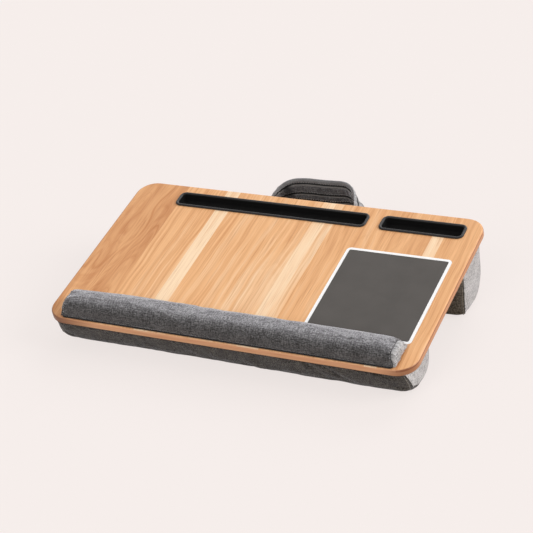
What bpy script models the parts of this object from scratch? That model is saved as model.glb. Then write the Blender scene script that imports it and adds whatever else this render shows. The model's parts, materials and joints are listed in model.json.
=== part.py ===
"""Lap desk: a wood-faced board that two stuffed bolsters hold at a tilt, with two moulded trays,
an inlaid mouse pad, a stuffed wrist rest along the front and a padded loop handle behind.

Lengths are in metres and angles in degrees. +X is to the user's right, +Y points away from the
user and +Z is up. The desk stands on the flat soles of its bolsters, and the bottom centre of its
bounding box is at the origin. Pieces of the board are drawn in the board's own tilted axes, and
the bolsters and the handle in upright axes. Both start at the centre of the board's top face.
"""

import math

import bmesh
import bpy
from mathutils import Matrix, Vector

# Clearances
GAP = 0.0003  # between pieces that touch
CUT_OVERRUN = 0.002  # how far a cutter runs past what it cuts
WELD = 0.00001

# Board
BOARD_WIDTH = 0.580
BOARD_DEPTH = 0.336
BOARD_THICKNESS = 0.010
BOARD_CORNER_RADIUS = 0.030
BOARD_ARRIS = 0.0025  # rounding of the upper edge
LAMINATE_THICKNESS = 0.0008
BOARD_TILT = 10.0
STAND_HEIGHT = 0.087  # from the floor to the centre of the board's top face

# Trays
TRAY_DEPTH = 0.0335
SHORT_TRAY_WIDTH = 0.1335
TRAY_SPACING = 0.0205
TRAY_REAR_MARGIN = 0.0175
TRAY_RIGHT_MARGIN = 0.0245  # from the board's right edge to the short tray
TRAY_LEFT_MARGIN = 0.0785  # from the board's left edge to the long tray
TRAY_MARGINS = TRAY_LEFT_MARGIN + TRAY_SPACING + TRAY_RIGHT_MARGIN
LONG_TRAY_WIDTH = BOARD_WIDTH - TRAY_MARGINS - SHORT_TRAY_WIDTH
TRAY_CORNER_RADIUS = 0.010
TRAY_RIM_WIDTH = 0.0045
TRAY_RIM_HEIGHT = 0.0018
TRAY_RIM_ROUNDING = 0.0008
TRAY_WALL = 0.0015
TRAY_POCKET_DEPTH = 0.014
TRAY_POCKET_FILLET = 0.003
TRAY_HOLE_CLEARANCE = 0.0005
TRAY_FOAM_CLEARANCE = 0.001

# Mouse pad
PAD_WIDTH = 0.1635
PAD_CORNER_RADIUS = 0.007
PAD_BORDER_WIDTH = 0.0045
PAD_THICKNESS = 0.0013
PAD_RECESS_DEPTH = 0.0012
PAD_FRONT_GAP = 0.0015  # from the wrist rest to the mouse pad
PAD_REAR_GAP = 0.0475  # from the mouse pad to the short tray
PAD_RIGHT_MARGIN = 0.022  # from the mouse pad to the board's right edge

# Fabric and stuffing
FABRIC_THICKNESS = 0.0012
END_PANEL_DOME = 0.003

# Wrist rest
WRIST_REST_END_MARGIN = 0.0245
WRIST_REST_LENGTH = BOARD_WIDTH - 2 * WRIST_REST_END_MARGIN
WRIST_REST_DEPTH = 0.049
WRIST_REST_HEIGHT = 0.026
WRIST_REST_FRONT_MARGIN = 0.003
WRIST_REST_FRONT_RADIUS = 0.016
WRIST_REST_BACK_RADIUS = 0.017
WRIST_REST_DRAW_IN = 0.0025
WRIST_REST_DOME = 0.0025

# Bolsters
BOLSTER_END_MARGIN = 0.0055
BOLSTER_LENGTH = BOARD_WIDTH - 2 * BOLSTER_END_MARGIN
BOLSTER_BELLY = 0.003  # how far the back swells past its upper edge
SOLE_CUT = 0.0005  # how much the floor flattens a sole
FRONT_BOLSTER_INSET = 0.005
FRONT_BOLSTER_DEPTH = 0.0885
FRONT_BOLSTER_TOE_RISE = 0.0125
FRONT_BOLSTER_TOE_RADIUS = 0.006
FRONT_BOLSTER_SOLE_RADIUS = 0.030
FRONT_BOLSTER_HEEL_RADIUS = 0.032
FRONT_BOLSTER_DRAW_IN = 0.0045
REAR_BOLSTER_INSET = 0.0105
REAR_BOLSTER_DEPTH = 0.086
REAR_BOLSTER_TOE_RISE = 0.004
REAR_BOLSTER_TOE_RADIUS = 0.004
REAR_BOLSTER_SOLE_RADIUS = 0.020
REAR_BOLSTER_HEEL_RADIUS = 0.045
REAR_BOLSTER_DRAW_IN = 0.004
UNDERSIDE_FABRIC_MARGIN = 0.001
UNDERSIDE_FABRIC_CORNER_RADIUS = 0.002

# Handle
HANDLE_WIDTH = 0.174  # between the middles of its sewn ends
HANDLE_DEPTH = 0.055  # from the sewn ends to the grip
HANDLE_GRIP_HEIGHT = 0.0105  # of the grip's centre line above the sewn ends
HANDLE_BAND_WIDTH = 0.045
HANDLE_GRIP_THICKNESS = 0.0052
HANDLE_END_THICKNESS = 0.0036
HANDLE_FABRIC_THICKNESS = 0.0009
HANDLE_PADDING_CLEARANCE = 0.0006
HANDLE_SEAM_HEIGHT = 0.007  # of the sewn ends above the centre of the board's top face
HANDLE_TAB_WIDTH = 0.047
HANDLE_TAB_LENGTH = 0.022
HANDLE_TAB_THICKNESS = 0.0024
HANDLE_TAB_OVERLAP = 0.002

# Shares of the sizes above
FRONT_TOE_DEPTH_SHARE = 0.165
FRONT_SOLE_DEPTH_SHARE = 0.41
REAR_SOLE_DEPTH_SHARE = 0.20
WRIST_FRONT_LEAN_SHARE = 0.05
WRIST_BACK_LEAN_SHARE = 0.07
DRAW_IN_CROWN_SHARE = 0.2  # of the draw-in that the long crown takes, the rest is at the seam
DRAW_IN_LIFT_SHARE = 0.3  # of the draw-in that lifts the sole
SEAM_PULL_POWER = 14  # the higher it is, the closer to the seam the fabric turns in

# Places along one half of the handle, from a sewn end to the middle of the grip: the shares of
# half the width, the depth and the grip's height, and of a right angle that the band leans up by
HANDLE_SHARES = (
    (1.00, 0.00, 0.00, 0.00),
    (1.00, 0.21, -0.20, 0.09),
    (0.98, 0.45, -0.25, 0.31),
    (0.87, 0.67, 0.00, 0.55),
    (0.72, 0.86, 0.42, 0.73),
    (0.53, 0.98, 0.80, 0.87),
    (0.29, 1.00, 0.98, 0.95),
    (0.00, 1.00, 1.00, 0.96),
)

# Places of the points along each flat of the band's section, as shares of its half width
HANDLE_FLAT_SHARES = (0.5, 0.0, -0.5)

# How far the band's round ends reach past their bending line, as a share of half its thickness
HANDLE_END_ROUND_SHARE = 0.66

# Where the foam in the band starts, as a share of the band's length from its sewn end
HANDLE_PADDING_START_SHARE = 0.34

# Counts of faces
CORNER_STEPS = 8
ARC_STEPS = 6
ARRIS_STEPS = 3
BOLSTER_STEPS = 18
BOLSTER_OUTLINE_STEPS = 24
WRIST_STEPS = 16
WRIST_OUTLINE_STEPS = 16
DOME_STEPS = 4
TAB_STEPS = 4
HANDLE_STEPS = 40
HANDLE_EDGE_STEPS = 4

RIGHT = 1
LEFT = -1


def clear_scene():
    """Start from an empty scene."""
    for obj in list(bpy.data.objects):
        bpy.data.objects.remove(obj, do_unlink=True)


def new_collection(name):
    """A collection linked to the scene."""
    collection = bpy.data.collections.new(name)
    bpy.context.scene.collection.children.link(collection)
    return collection


def new_material(name, color, roughness, metallic=0.0):
    """A plain Principled material."""
    material = bpy.data.materials.new(name)
    material.use_nodes = True
    shader = material.node_tree.nodes["Principled BSDF"]
    shader.inputs["Base Color"].default_value = (*color, 1.0)
    shader.inputs["Roughness"].default_value = roughness
    shader.inputs["Metallic"].default_value = metallic
    material.diffuse_color = (*color, 1.0)
    return material


def new_empty(name, parent=None, location=(0, 0, 0), tilt=0.0):
    """An empty that carries pieces, turned about X by the tilt."""
    empty = bpy.data.objects.new(name, None)
    parts.objects.link(empty)
    empty.parent = parent
    empty.location = location
    empty.rotation_euler = (math.radians(tilt), 0, 0)
    return empty


def add_piece(name, mesh, material, parent):
    """A named piece of the desk."""
    mesh.name = name
    mesh.materials.clear()
    mesh.materials.append(material)
    mesh.shade_smooth()
    mesh.set_sharp_from_angle(angle=math.radians(40))
    piece = bpy.data.objects.new(name, mesh)
    parts.objects.link(piece)
    piece.parent = parent
    return piece


def add_cutter(name, mesh, parent):
    """A shape that is only used to cut others."""
    cutter = bpy.data.objects.new(name, mesh)
    cutters.objects.link(cutter)
    cutter.parent = parent
    cutter.hide_render = True
    cutter.display_type = "WIRE"
    return cutter


def cut(piece, cutter):
    """Take the cutter's shape out of a piece."""
    boolean = piece.modifiers.new(f"cut by {cutter.name}", "BOOLEAN")
    boolean.operation = "DIFFERENCE"
    boolean.solver = "EXACT"
    boolean.object = cutter


def thicken(piece, thickness, offset):
    """Give a surface its wall: inwards for an offset of -1, outwards for 1."""
    solidify = piece.modifiers.new("wall", "SOLIDIFY")
    solidify.thickness = thickness
    solidify.offset = offset
    solidify.use_even_offset = True


def rounded_rectangle(width, depth, radius):
    """Corner points of a rectangle with round corners, anticlockwise from the right."""
    points = []
    for corner, (side_x, side_y) in enumerate(((1, 1), (-1, 1), (-1, -1), (1, -1))):
        centre = Vector((side_x * (width / 2 - radius), side_y * (depth / 2 - radius)))
        for step in range(CORNER_STEPS + 1):
            angle = math.radians(90) * (corner + step / CORNER_STEPS)
            points.append(centre + radius * Vector((math.cos(angle), math.sin(angle))))
    return points


def slab_mesh(width, depth, radius, low, high, centre=(0, 0), arris=0.0, fillet=0.0):
    """A flat curve filled and extruded: arris rounds its upper edge and fillet its lower one."""
    curve = bpy.data.curves.new("outline", "CURVE")
    curve.dimensions = "2D"
    curve.fill_mode = "BOTH"
    curve.extrude = (high - low) / 2
    outline = rounded_rectangle(width, depth, radius)
    spline = curve.splines.new("POLY")
    spline.points.add(len(outline) - 1)
    for point, place in zip(spline.points, outline):
        point.co = (place.x, place.y, 0, 1)
    spline.use_cyclic_u = True
    guide = bpy.data.objects.new("outline", curve)
    cutters.objects.link(guide)
    bpy.context.view_layer.update()
    mesh = bpy.data.meshes.new_from_object(guide.evaluated_get(bpy.context.evaluated_depsgraph_get()))
    bpy.data.objects.remove(guide)
    mesh.transform(Matrix.Translation((*centre, (low + high) / 2)))
    shape = bmesh.new()
    shape.from_mesh(mesh)
    bmesh.ops.remove_doubles(shape, verts=shape.verts, dist=WELD)
    bmesh.ops.dissolve_limit(
        shape, angle_limit=math.radians(1), verts=shape.verts, edges=shape.edges
    )
    round_rim(shape, high, arris)
    round_rim(shape, low, fillet)
    bmesh.ops.recalc_face_normals(shape, faces=shape.faces)
    shape.to_mesh(mesh)
    shape.free()
    return mesh


def round_rim(shape, height, radius):
    """Round the rim of a slab at one height."""
    if radius == 0:
        return
    rim = [
        edge
        for edge in shape.edges
        if all(abs(vert.co.z - height) < WELD for vert in edge.verts)
        and len({round(face.normal.z) for face in edge.link_faces}) == 2
    ]
    bmesh.ops.bevel(
        shape, geom=rim, offset=radius, segments=ARRIS_STEPS, profile=0.5, affect="EDGES"
    )


def surface_mesh(place, steps_u, steps_v, filled=False, split=False):
    """A grid whose points place(u, v) gives, u and v from 0 to 1.

    Filled closes its open ends. Split cuts its squares alike into triangles, so that surfaces
    nested in each other bend along the same lines.
    """
    shape = bmesh.new()
    bmesh.ops.create_grid(shape, x_segments=steps_u, y_segments=steps_v, size=1)
    for vert in shape.verts:
        vert.co = place((vert.co.x + 1) / 2, (vert.co.y + 1) / 2)
    if split:
        bmesh.ops.triangulate(shape, faces=shape.faces, quad_method="FIXED")
    bmesh.ops.remove_doubles(shape, verts=shape.verts, dist=WELD)
    if filled:
        open_edges = [edge for edge in shape.edges if edge.is_boundary]
        bmesh.ops.holes_fill(shape, edges=open_edges, sides=0)
        bmesh.ops.recalc_face_normals(shape, faces=shape.faces)
    mesh = bpy.data.meshes.new("surface")
    shape.to_mesh(mesh)
    shape.free()
    return mesh


def rounded_path(corners, radii):
    """An open path whose inner corners are arcs of the given radii."""
    points = [corners[0]]
    for before, corner, after, radius in zip(corners, corners[1:], corners[2:], radii):
        to_before = (before - corner).normalized()
        to_after = (after - corner).normalized()
        half = math.acos(max(-1, min(1, to_before.dot(to_after)))) / 2
        centre = corner + (to_before + to_after).normalized() * radius / math.sin(half)
        first = corner + to_before * radius / math.tan(half) - centre
        last = corner + to_after * radius / math.tan(half) - centre
        sweep = math.atan2(first.x * last.y - first.y * last.x, first.dot(last))
        for step in range(ARC_STEPS + 1):
            angle = sweep * step / ARC_STEPS
            turned = Vector((
                first.x * math.cos(angle) - first.y * math.sin(angle),
                first.x * math.sin(angle) + first.y * math.cos(angle),
            ))
            points.append(centre + turned)
    points.append(corners[-1])
    return points


def spaced_evenly(points, steps):
    """The same path in even steps."""
    lengths = [0.0]
    for first, second in zip(points, points[1:]):
        lengths.append(lengths[-1] + (second - first).length)
    spaced = []
    segment = 0
    for step in range(steps + 1):
        target = lengths[-1] * step / steps
        while segment < len(points) - 2 and lengths[segment + 1] < target:
            segment += 1
        run = lengths[segment + 1] - lengths[segment]
        share = (target - lengths[segment]) / run if run else 0
        spaced.append(points[segment].lerp(points[segment + 1], share))
    return spaced


def outward_normals(points):
    """Outward normals of a section's path, which runs with the stuffing on its left."""
    normals = []
    for index in range(len(points)):
        before = points[max(index - 1, 0)]
        after = points[min(index + 1, len(points) - 1)]
        along = (after - before).normalized()
        normals.append(Vector((along.y, -along.x)))
    return normals


def drawn_in(outline, reach_share, draw, lift_share):
    """The section at a share of the way to the end seam: smaller than the middle one.

    The stuffing pulls in slowly along the crown and quickly at the seam, and not at all
    where the fabric is fixed to the board.
    """
    crown = DRAW_IN_CROWN_SHARE * reach_share**2
    pull = draw * (crown + (1 - DRAW_IN_CROWN_SHARE) * reach_share**SEAM_PULL_POWER)
    section = []
    last = len(outline) - 1
    for index, (point, normal) in enumerate(zip(outline, outward_normals(outline))):
        weight = math.sqrt(math.sin(math.pi * index / last)) if 0 < index < last else 0.0
        inward = -normal * pull * weight
        section.append(point + Vector((inward.x, inward.y * lift_share)))
    return section


def inset(section, distance):
    """The section moved inwards by an even distance, its two ends kept at their own heights."""
    normals = outward_normals(section)
    moved = [
        point - normal * distance / math.cos((point - before).angle(after - point) / 2)
        for before, point, after, normal in zip(section, section[1:], section[2:], normals[1:])
    ]
    first, last = (
        Vector((section[end].x - distance / normals[end].x, section[end].y)) for end in (0, -1)
    )
    return [first, *moved, last]


def underside(y):
    """Height of the board's underside over a place, in upright axes, less a gap."""
    tilt = math.radians(BOARD_TILT)
    return (y * math.sin(tilt) - BOARD_THICKNESS - GAP) / math.cos(tilt)


def board_edge(side):
    """Where the board's front (-1) or rear (1) upper edge lies in upright axes."""
    return side * BOARD_DEPTH / 2 * math.cos(math.radians(BOARD_TILT))


def front_bolster_outline():
    """Middle section of the front bolster: a leaning flat front, a sole and a round heel."""
    front = board_edge(-1) + FRONT_BOLSTER_INSET
    back = front + FRONT_BOLSTER_DEPTH
    sole = -STAND_HEIGHT - SOLE_CUT
    corners = [
        Vector((front, underside(front) + CUT_OVERRUN)),
        Vector((front + FRONT_TOE_DEPTH_SHARE * FRONT_BOLSTER_DEPTH, sole + FRONT_BOLSTER_TOE_RISE)),
        Vector((front + FRONT_SOLE_DEPTH_SHARE * FRONT_BOLSTER_DEPTH, sole)),
        Vector((back + BOLSTER_BELLY, sole)),
        Vector((back, underside(back) + CUT_OVERRUN)),
    ]
    radii = (FRONT_BOLSTER_TOE_RADIUS, FRONT_BOLSTER_SOLE_RADIUS, FRONT_BOLSTER_HEEL_RADIUS)
    return spaced_evenly(rounded_path(corners, radii), BOLSTER_OUTLINE_STEPS)


def rear_bolster_outline():
    """Middle section of the rear bolster: an upright flat front, a sole and a large round heel."""
    back = board_edge(1) - REAR_BOLSTER_INSET
    front = back - REAR_BOLSTER_DEPTH
    sole = -STAND_HEIGHT - SOLE_CUT
    corners = [
        Vector((front, underside(front) + CUT_OVERRUN)),
        Vector((front, sole + REAR_BOLSTER_TOE_RISE)),
        Vector((front + REAR_SOLE_DEPTH_SHARE * REAR_BOLSTER_DEPTH, sole)),
        Vector((back + BOLSTER_BELLY, sole)),
        Vector((back, underside(back) + CUT_OVERRUN)),
    ]
    radii = (REAR_BOLSTER_TOE_RADIUS, REAR_BOLSTER_SOLE_RADIUS, REAR_BOLSTER_HEEL_RADIUS)
    return spaced_evenly(rounded_path(corners, radii), BOLSTER_OUTLINE_STEPS)


def bolster_section(outline, draw):
    """A function that gives a bolster's section at a share of the way to its end."""

    def section(reach_share):
        points = drawn_in(outline, reach_share, draw, DRAW_IN_LIFT_SHARE)
        for point in points:
            point.y = max(point.y, -STAND_HEIGHT)
        return points

    return section


def wrist_rest_front():
    """Place of the wrist rest's front edge, in the board's axes."""
    return -BOARD_DEPTH / 2 + WRIST_REST_FRONT_MARGIN


def wrist_rest_section():
    """A function that gives the wrist rest's section: a low D with its flat on the board."""
    front = wrist_rest_front()
    back = front + WRIST_REST_DEPTH
    top = WRIST_REST_HEIGHT
    corners = [
        Vector((back, -CUT_OVERRUN)),
        Vector((back - WRIST_BACK_LEAN_SHARE * WRIST_REST_DEPTH, top)),
        Vector((front + WRIST_FRONT_LEAN_SHARE * WRIST_REST_DEPTH, top)),
        Vector((front, -CUT_OVERRUN)),
    ]
    radii = (WRIST_REST_BACK_RADIUS, WRIST_REST_FRONT_RADIUS)
    outline = spaced_evenly(rounded_path(corners, radii), WRIST_OUTLINE_STEPS)

    def section(reach_share):
        return drawn_in(outline, reach_share, WRIST_REST_DRAW_IN, 1)

    return section


def board_envelope():
    """The board with a gap above and below it, past whose faces nothing soft may reach."""
    mesh = slab_mesh(
        BOARD_WIDTH + 2 * CUT_OVERRUN,
        BOARD_DEPTH + 2 * CUT_OVERRUN,
        BOARD_ARRIS,
        -BOARD_THICKNESS - GAP,
        GAP,
    )
    return add_cutter("board_envelope", mesh, board_axes)


def stuffed_cover(name, section, half_length, steps, material, parent):
    """The fabric round a stuffed bar, open at both ends and where it is fixed to the board."""
    outline_steps = len(section(0)) - 1

    def place(u, v):
        along = 1 - 2 * u
        point = section(abs(along))[round(v * outline_steps)]
        return Vector((half_length * along, point.x, point.y))

    cover = add_piece(name, surface_mesh(place, steps, outline_steps), material, parent)
    thicken(cover, FABRIC_THICKNESS, -1)
    cut(cover, envelope)


def stuffing(name, section, half_length, steps, material, parent):
    """The foam inside a cover."""
    outline_steps = len(section(0)) - 1
    wall = FABRIC_THICKNESS + GAP

    def place(u, v):
        along = 1 - 2 * u
        points = inset(section(abs(along)), wall)
        index = round(v * (outline_steps + 1)) % (outline_steps + 1)
        return Vector((half_length * along, points[index].x, points[index].y))

    mesh = surface_mesh(place, steps, outline_steps + 1, filled=True)
    foam = add_piece(name, mesh, material, parent)
    cut(foam, envelope)
    return foam


def end_panel(name, section, half_length, dome, side, material, parent):
    """The domed panel sewn on one end of a stuffed bar."""
    rim = section(1)
    count = len(rim)
    middle = sum(rim, Vector((0, 0))) / count
    rim_place = half_length + GAP + FABRIC_THICKNESS

    def place(u, v):
        index = round((v if side == RIGHT else 1 - v) * count) % count
        point = middle.lerp(rim[index], u)
        return Vector((side * (rim_place + dome * (1 - u**2)), point.x, point.y))

    panel = add_piece(name, surface_mesh(place, DOME_STEPS, count), material, parent)
    thicken(panel, FABRIC_THICKNESS, -1)
    cut(panel, envelope)


def cover_half_length(length, dome):
    """Half the length of a stuffed bar's cover, without its end panels."""
    return length / 2 - dome - FABRIC_THICKNESS - GAP


def stuffed_bar(name, section, length, dome, steps, parent):
    """A cover, its foam and its two end panels."""
    half = cover_half_length(length, dome)
    stuffed_cover(f"{name}_cover", section, half, steps, linen, parent)
    foam = stuffing(f"{name}_foam", section, half, steps // 2, foam_white, parent)
    for side, word in ((LEFT, "left"), (RIGHT, "right")):
        end_panel(f"{name}_end_{word}", section, half, dome, side, linen, parent)
    return foam


def board_pieces():
    """The board's core and the wood-grain laminate that wraps its top and its edges."""
    skin = LAMINATE_THICKNESS
    inner = skin + GAP
    core = add_piece(
        "board_core",
        slab_mesh(
            BOARD_WIDTH - 2 * inner,
            BOARD_DEPTH - 2 * inner,
            BOARD_CORNER_RADIUS - inner,
            -BOARD_THICKNESS,
            -inner,
            arris=BOARD_ARRIS - inner,
        ),
        fibreboard,
        board_axes,
    )
    laminate = add_piece(
        "board_laminate",
        slab_mesh(
            BOARD_WIDTH,
            BOARD_DEPTH,
            BOARD_CORNER_RADIUS,
            -BOARD_THICKNESS,
            0,
            arris=BOARD_ARRIS,
        ),
        wood,
        board_axes,
    )
    hollow = slab_mesh(
        BOARD_WIDTH - 2 * skin,
        BOARD_DEPTH - 2 * skin,
        BOARD_CORNER_RADIUS - skin,
        -BOARD_THICKNESS - CUT_OVERRUN,
        -skin,
        arris=BOARD_ARRIS - skin,
    )
    cut(laminate, add_cutter("laminate_hollow", hollow, board_axes))
    return core, laminate


def short_tray_place():
    """Centre of the short tray's outline."""
    return (
        BOARD_WIDTH / 2 - TRAY_RIGHT_MARGIN - SHORT_TRAY_WIDTH / 2,
        BOARD_DEPTH / 2 - TRAY_REAR_MARGIN - TRAY_DEPTH / 2,
    )


def long_tray_place():
    """Centre of the long tray's outline, to the left of the short one."""
    x, y = short_tray_place()
    return (x - SHORT_TRAY_WIDTH / 2 - TRAY_SPACING - LONG_TRAY_WIDTH / 2, y)


def tray(name, width, centre, core, laminate, foam):
    """A moulded tray: a rim on the board, and a pocket that hangs through it into the foam."""
    rim_top = GAP + TRAY_RIM_HEIGHT
    floor_top = rim_top - TRAY_POCKET_DEPTH
    piece = add_piece(
        name,
        slab_mesh(
            width, TRAY_DEPTH, TRAY_CORNER_RADIUS, GAP, rim_top, centre, arris=TRAY_RIM_ROUNDING
        ),
        black_plastic,
        board_axes,
    )
    rim = TRAY_RIM_WIDTH
    box = rim - TRAY_WALL
    well_mesh = slab_mesh(
        width - 2 * box,
        TRAY_DEPTH - 2 * box,
        TRAY_CORNER_RADIUS - box,
        floor_top - TRAY_WALL,
        GAP + TRAY_RIM_HEIGHT / 2,
        centre,
        fillet=TRAY_POCKET_FILLET,
    )
    well = add_cutter(f"{name}_well", well_mesh, board_axes)
    union = piece.modifiers.new("well", "BOOLEAN")
    union.operation = "UNION"
    union.solver = "EXACT"
    union.object = well
    pocket = slab_mesh(
        width - 2 * rim,
        TRAY_DEPTH - 2 * rim,
        TRAY_CORNER_RADIUS - rim,
        floor_top,
        rim_top + CUT_OVERRUN,
        centre,
        fillet=TRAY_POCKET_FILLET - TRAY_WALL / 2,
    )
    cut(piece, add_cutter(f"{name}_pocket", pocket, board_axes))
    slack = box - TRAY_HOLE_CLEARANCE
    hole = slab_mesh(
        width - 2 * slack,
        TRAY_DEPTH - 2 * slack,
        TRAY_CORNER_RADIUS - slack,
        -BOARD_THICKNESS - CUT_OVERRUN,
        CUT_OVERRUN,
        centre,
    )
    hole_cutter = add_cutter(f"{name}_hole", hole, board_axes)
    cut(core, hole_cutter)
    cut(laminate, hole_cutter)
    room = box - TRAY_FOAM_CLEARANCE
    recess = slab_mesh(
        width - 2 * room,
        TRAY_DEPTH - 2 * room,
        TRAY_CORNER_RADIUS - room,
        floor_top - TRAY_WALL - TRAY_FOAM_CLEARANCE,
        -BOARD_THICKNESS / 2,
        centre,
    )
    cut(foam, add_cutter(f"{name}_foam_recess", recess, board_axes))
    return piece


def mouse_pad(core, laminate):
    """The mouse pad and its white border, which lie in one shallow recess of the board."""
    front = wrist_rest_front() + WRIST_REST_DEPTH + PAD_FRONT_GAP
    back = short_tray_place()[1] - TRAY_DEPTH / 2 - PAD_REAR_GAP
    length = back - front
    centre = (BOARD_WIDTH / 2 - PAD_RIGHT_MARGIN - PAD_WIDTH / 2, (front + back) / 2)
    recess_floor = -PAD_RECESS_DEPTH
    low = recess_floor + GAP
    high = low + PAD_THICKNESS
    border = add_piece(
        "mouse_pad_border",
        slab_mesh(PAD_WIDTH, length, PAD_CORNER_RADIUS, low, high, centre),
        white_plastic,
        board_axes,
    )
    inner_radius = PAD_CORNER_RADIUS - PAD_BORDER_WIDTH
    window = slab_mesh(
        PAD_WIDTH - 2 * PAD_BORDER_WIDTH,
        length - 2 * PAD_BORDER_WIDTH,
        inner_radius,
        low - CUT_OVERRUN,
        high + CUT_OVERRUN,
        centre,
    )
    cut(border, add_cutter("mouse_pad_window", window, board_axes))
    inlay = PAD_BORDER_WIDTH + GAP
    add_piece(
        "mouse_pad",
        slab_mesh(
            PAD_WIDTH - 2 * inlay,
            length - 2 * inlay,
            inner_radius - GAP,
            low,
            high,
            centre,
        ),
        grey_pad,
        board_axes,
    )
    recess = slab_mesh(
        PAD_WIDTH + 2 * GAP,
        length + 2 * GAP,
        PAD_CORNER_RADIUS + GAP,
        recess_floor,
        CUT_OVERRUN,
        centre,
    )
    recess_cutter = add_cutter("mouse_pad_recess", recess, board_axes)
    cut(core, recess_cutter)
    cut(laminate, recess_cutter)


def underside_fabric():
    """The fabric between the bolsters, stuck to the board's underside."""
    tilt = math.radians(BOARD_TILT)
    first = board_edge(-1) + FRONT_BOLSTER_INSET + FRONT_BOLSTER_DEPTH
    last = board_edge(1) - REAR_BOLSTER_INSET - REAR_BOLSTER_DEPTH
    front, back = (
        y * math.cos(tilt) + underside(y) * math.sin(tilt) for y in (first, last)
    )
    front += UNDERSIDE_FABRIC_MARGIN
    back -= UNDERSIDE_FABRIC_MARGIN
    high = -BOARD_THICKNESS - GAP
    mesh = slab_mesh(
        BOLSTER_LENGTH,
        back - front,
        UNDERSIDE_FABRIC_CORNER_RADIUS,
        high - FABRIC_THICKNESS,
        high,
        (0, (front + back) / 2),
    )
    add_piece("underside_fabric", mesh, linen, board_axes)


def rear_bolster_back(section, x, height):
    """How far back the rear bolster's cover reaches at a place across and a height."""
    points = section(abs(x) / cover_half_length(BOLSTER_LENGTH, END_PANEL_DOME))
    for lower, upper in zip(points[len(points) // 2:], points[len(points) // 2 + 1:]):
        if lower.y <= height <= upper.y:
            return lower.lerp(upper, (height - lower.y) / (upper.y - lower.y)).x
    return points[-1].x


def handle_tab(name, section, side):
    """An end of the handle's band, sewn flat on the back of the rear bolster."""
    top = HANDLE_SEAM_HEIGHT + HANDLE_TAB_OVERLAP

    def place(u, v):
        x = side * HANDLE_WIDTH / 2 + HANDLE_TAB_WIDTH * (1 / 2 - u)
        height = top - HANDLE_TAB_LENGTH * (1 - v)
        return Vector((x, rear_bolster_back(section, x, height) + GAP, height))

    tab = add_piece(name, surface_mesh(place, TAB_STEPS, TAB_STEPS), linen, desk)
    thicken(tab, HANDLE_TAB_THICKNESS, 1)


def handle_hinge_place(section):
    """Where the handle bends: just behind the tabs, by half the thickness of its ends."""
    back = rear_bolster_back(section, HANDLE_WIDTH / 2, HANDLE_SEAM_HEIGHT)
    tab_face = back + GAP + HANDLE_TAB_THICKNESS
    return Vector((0, tab_face + GAP + HANDLE_END_THICKNESS / 2, HANDLE_SEAM_HEIGHT))


def handle_place(u):
    """Centre of the band and its lean at a share of its length, from right to left."""
    right = [
        (
            x * HANDLE_WIDTH / 2,
            y * HANDLE_DEPTH,
            z * HANDLE_GRIP_HEIGHT,
            math.radians(90) * lean,
        )
        for x, y, z, lean in HANDLE_SHARES
    ]
    keys = right + [(-x, y, z, lean) for x, y, z, lean in reversed(right[:-1])]
    spot = min(max(u, 0), 1) * (len(keys) - 1)
    index = min(int(spot), len(keys) - 2)
    share = spot - index
    before = keys[max(index - 1, 0)]
    first, second = keys[index], keys[index + 1]
    after = keys[min(index + 2, len(keys) - 1)]
    values = [
        (
            2 * b
            + (c - a) * share
            + (2 * a - 5 * b + 4 * c - d) * share**2
            + (3 * b - a - 3 * c + d) * share**3
        )
        / 2
        for a, b, c, d in zip(before, first, second, after)
    ]
    return Vector(values[:3]), values[3]


def handle_axes(u):
    """Directions across the band and through it at a share of its length.

    Seen along the band, it lies flat at its sewn ends and turns up on its edge at the grip.
    """
    nudge = 1 / (4 * HANDLE_STEPS)
    along = (handle_place(u + nudge)[0] - handle_place(u - nudge)[0]).normalized()
    inward = Vector((-along.y, along.x, 0)).normalized()
    lean = handle_place(u)[1]
    across = inward * math.cos(lean) + Vector((0, 0, 1)) * math.sin(lean)
    across = (across - along * across.dot(along)).normalized()
    return across, along.cross(across).normalized()


def handle_section(width, thickness):
    """A flat bar's section with round edges, as (across, through) pairs."""
    radius = thickness / 2
    points = []
    for side in (1, -1):
        for step in range(HANDLE_EDGE_STEPS + 1):
            angle = math.radians(90) - math.radians(180) * step / HANDLE_EDGE_STEPS
            across = side * (width / 2 - radius + radius * math.cos(angle))
            points.append((across, side * radius * math.sin(angle)))
        for share in HANDLE_FLAT_SHARES:
            points.append((side * share * (width / 2 - radius), -side * radius))
    return points


def handle_mesh(inset_by, start, filled):
    """The band swept along the handle from a share of its length, made smaller by an inset.

    Its first and last rings round off its ends about the line that the band bends on.
    """
    count = len(handle_section(1, 1))

    def place(u, v):
        step = round(u * HANDLE_STEPS)
        spot = start + (1 - 2 * start) * min(max((step - 1) / (HANDLE_STEPS - 2), 0), 1)
        across, through = handle_axes(spot)
        bulge = math.sqrt(math.sin(math.pi * spot)) if 0 < spot < 1 else 0
        thickness = HANDLE_END_THICKNESS + bulge * (HANDLE_GRIP_THICKNESS - HANDLE_END_THICKNESS)
        thickness -= 2 * inset_by
        centre = handle_place(spot)[0]
        if step in (0, HANDLE_STEPS):
            outward = -1 if step == 0 else 1
            past_end = outward * HANDLE_END_ROUND_SHARE * thickness / 2
            centre += across.cross(through) * past_end
            thickness *= math.sqrt(1 - HANDLE_END_ROUND_SHARE**2)
        points = handle_section(HANDLE_BAND_WIDTH - 2 * inset_by, thickness)
        w, t = points[round(v * count) % count]
        return centre + across * w + through * t

    return surface_mesh(place, HANDLE_STEPS, count, filled, split=True)


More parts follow.
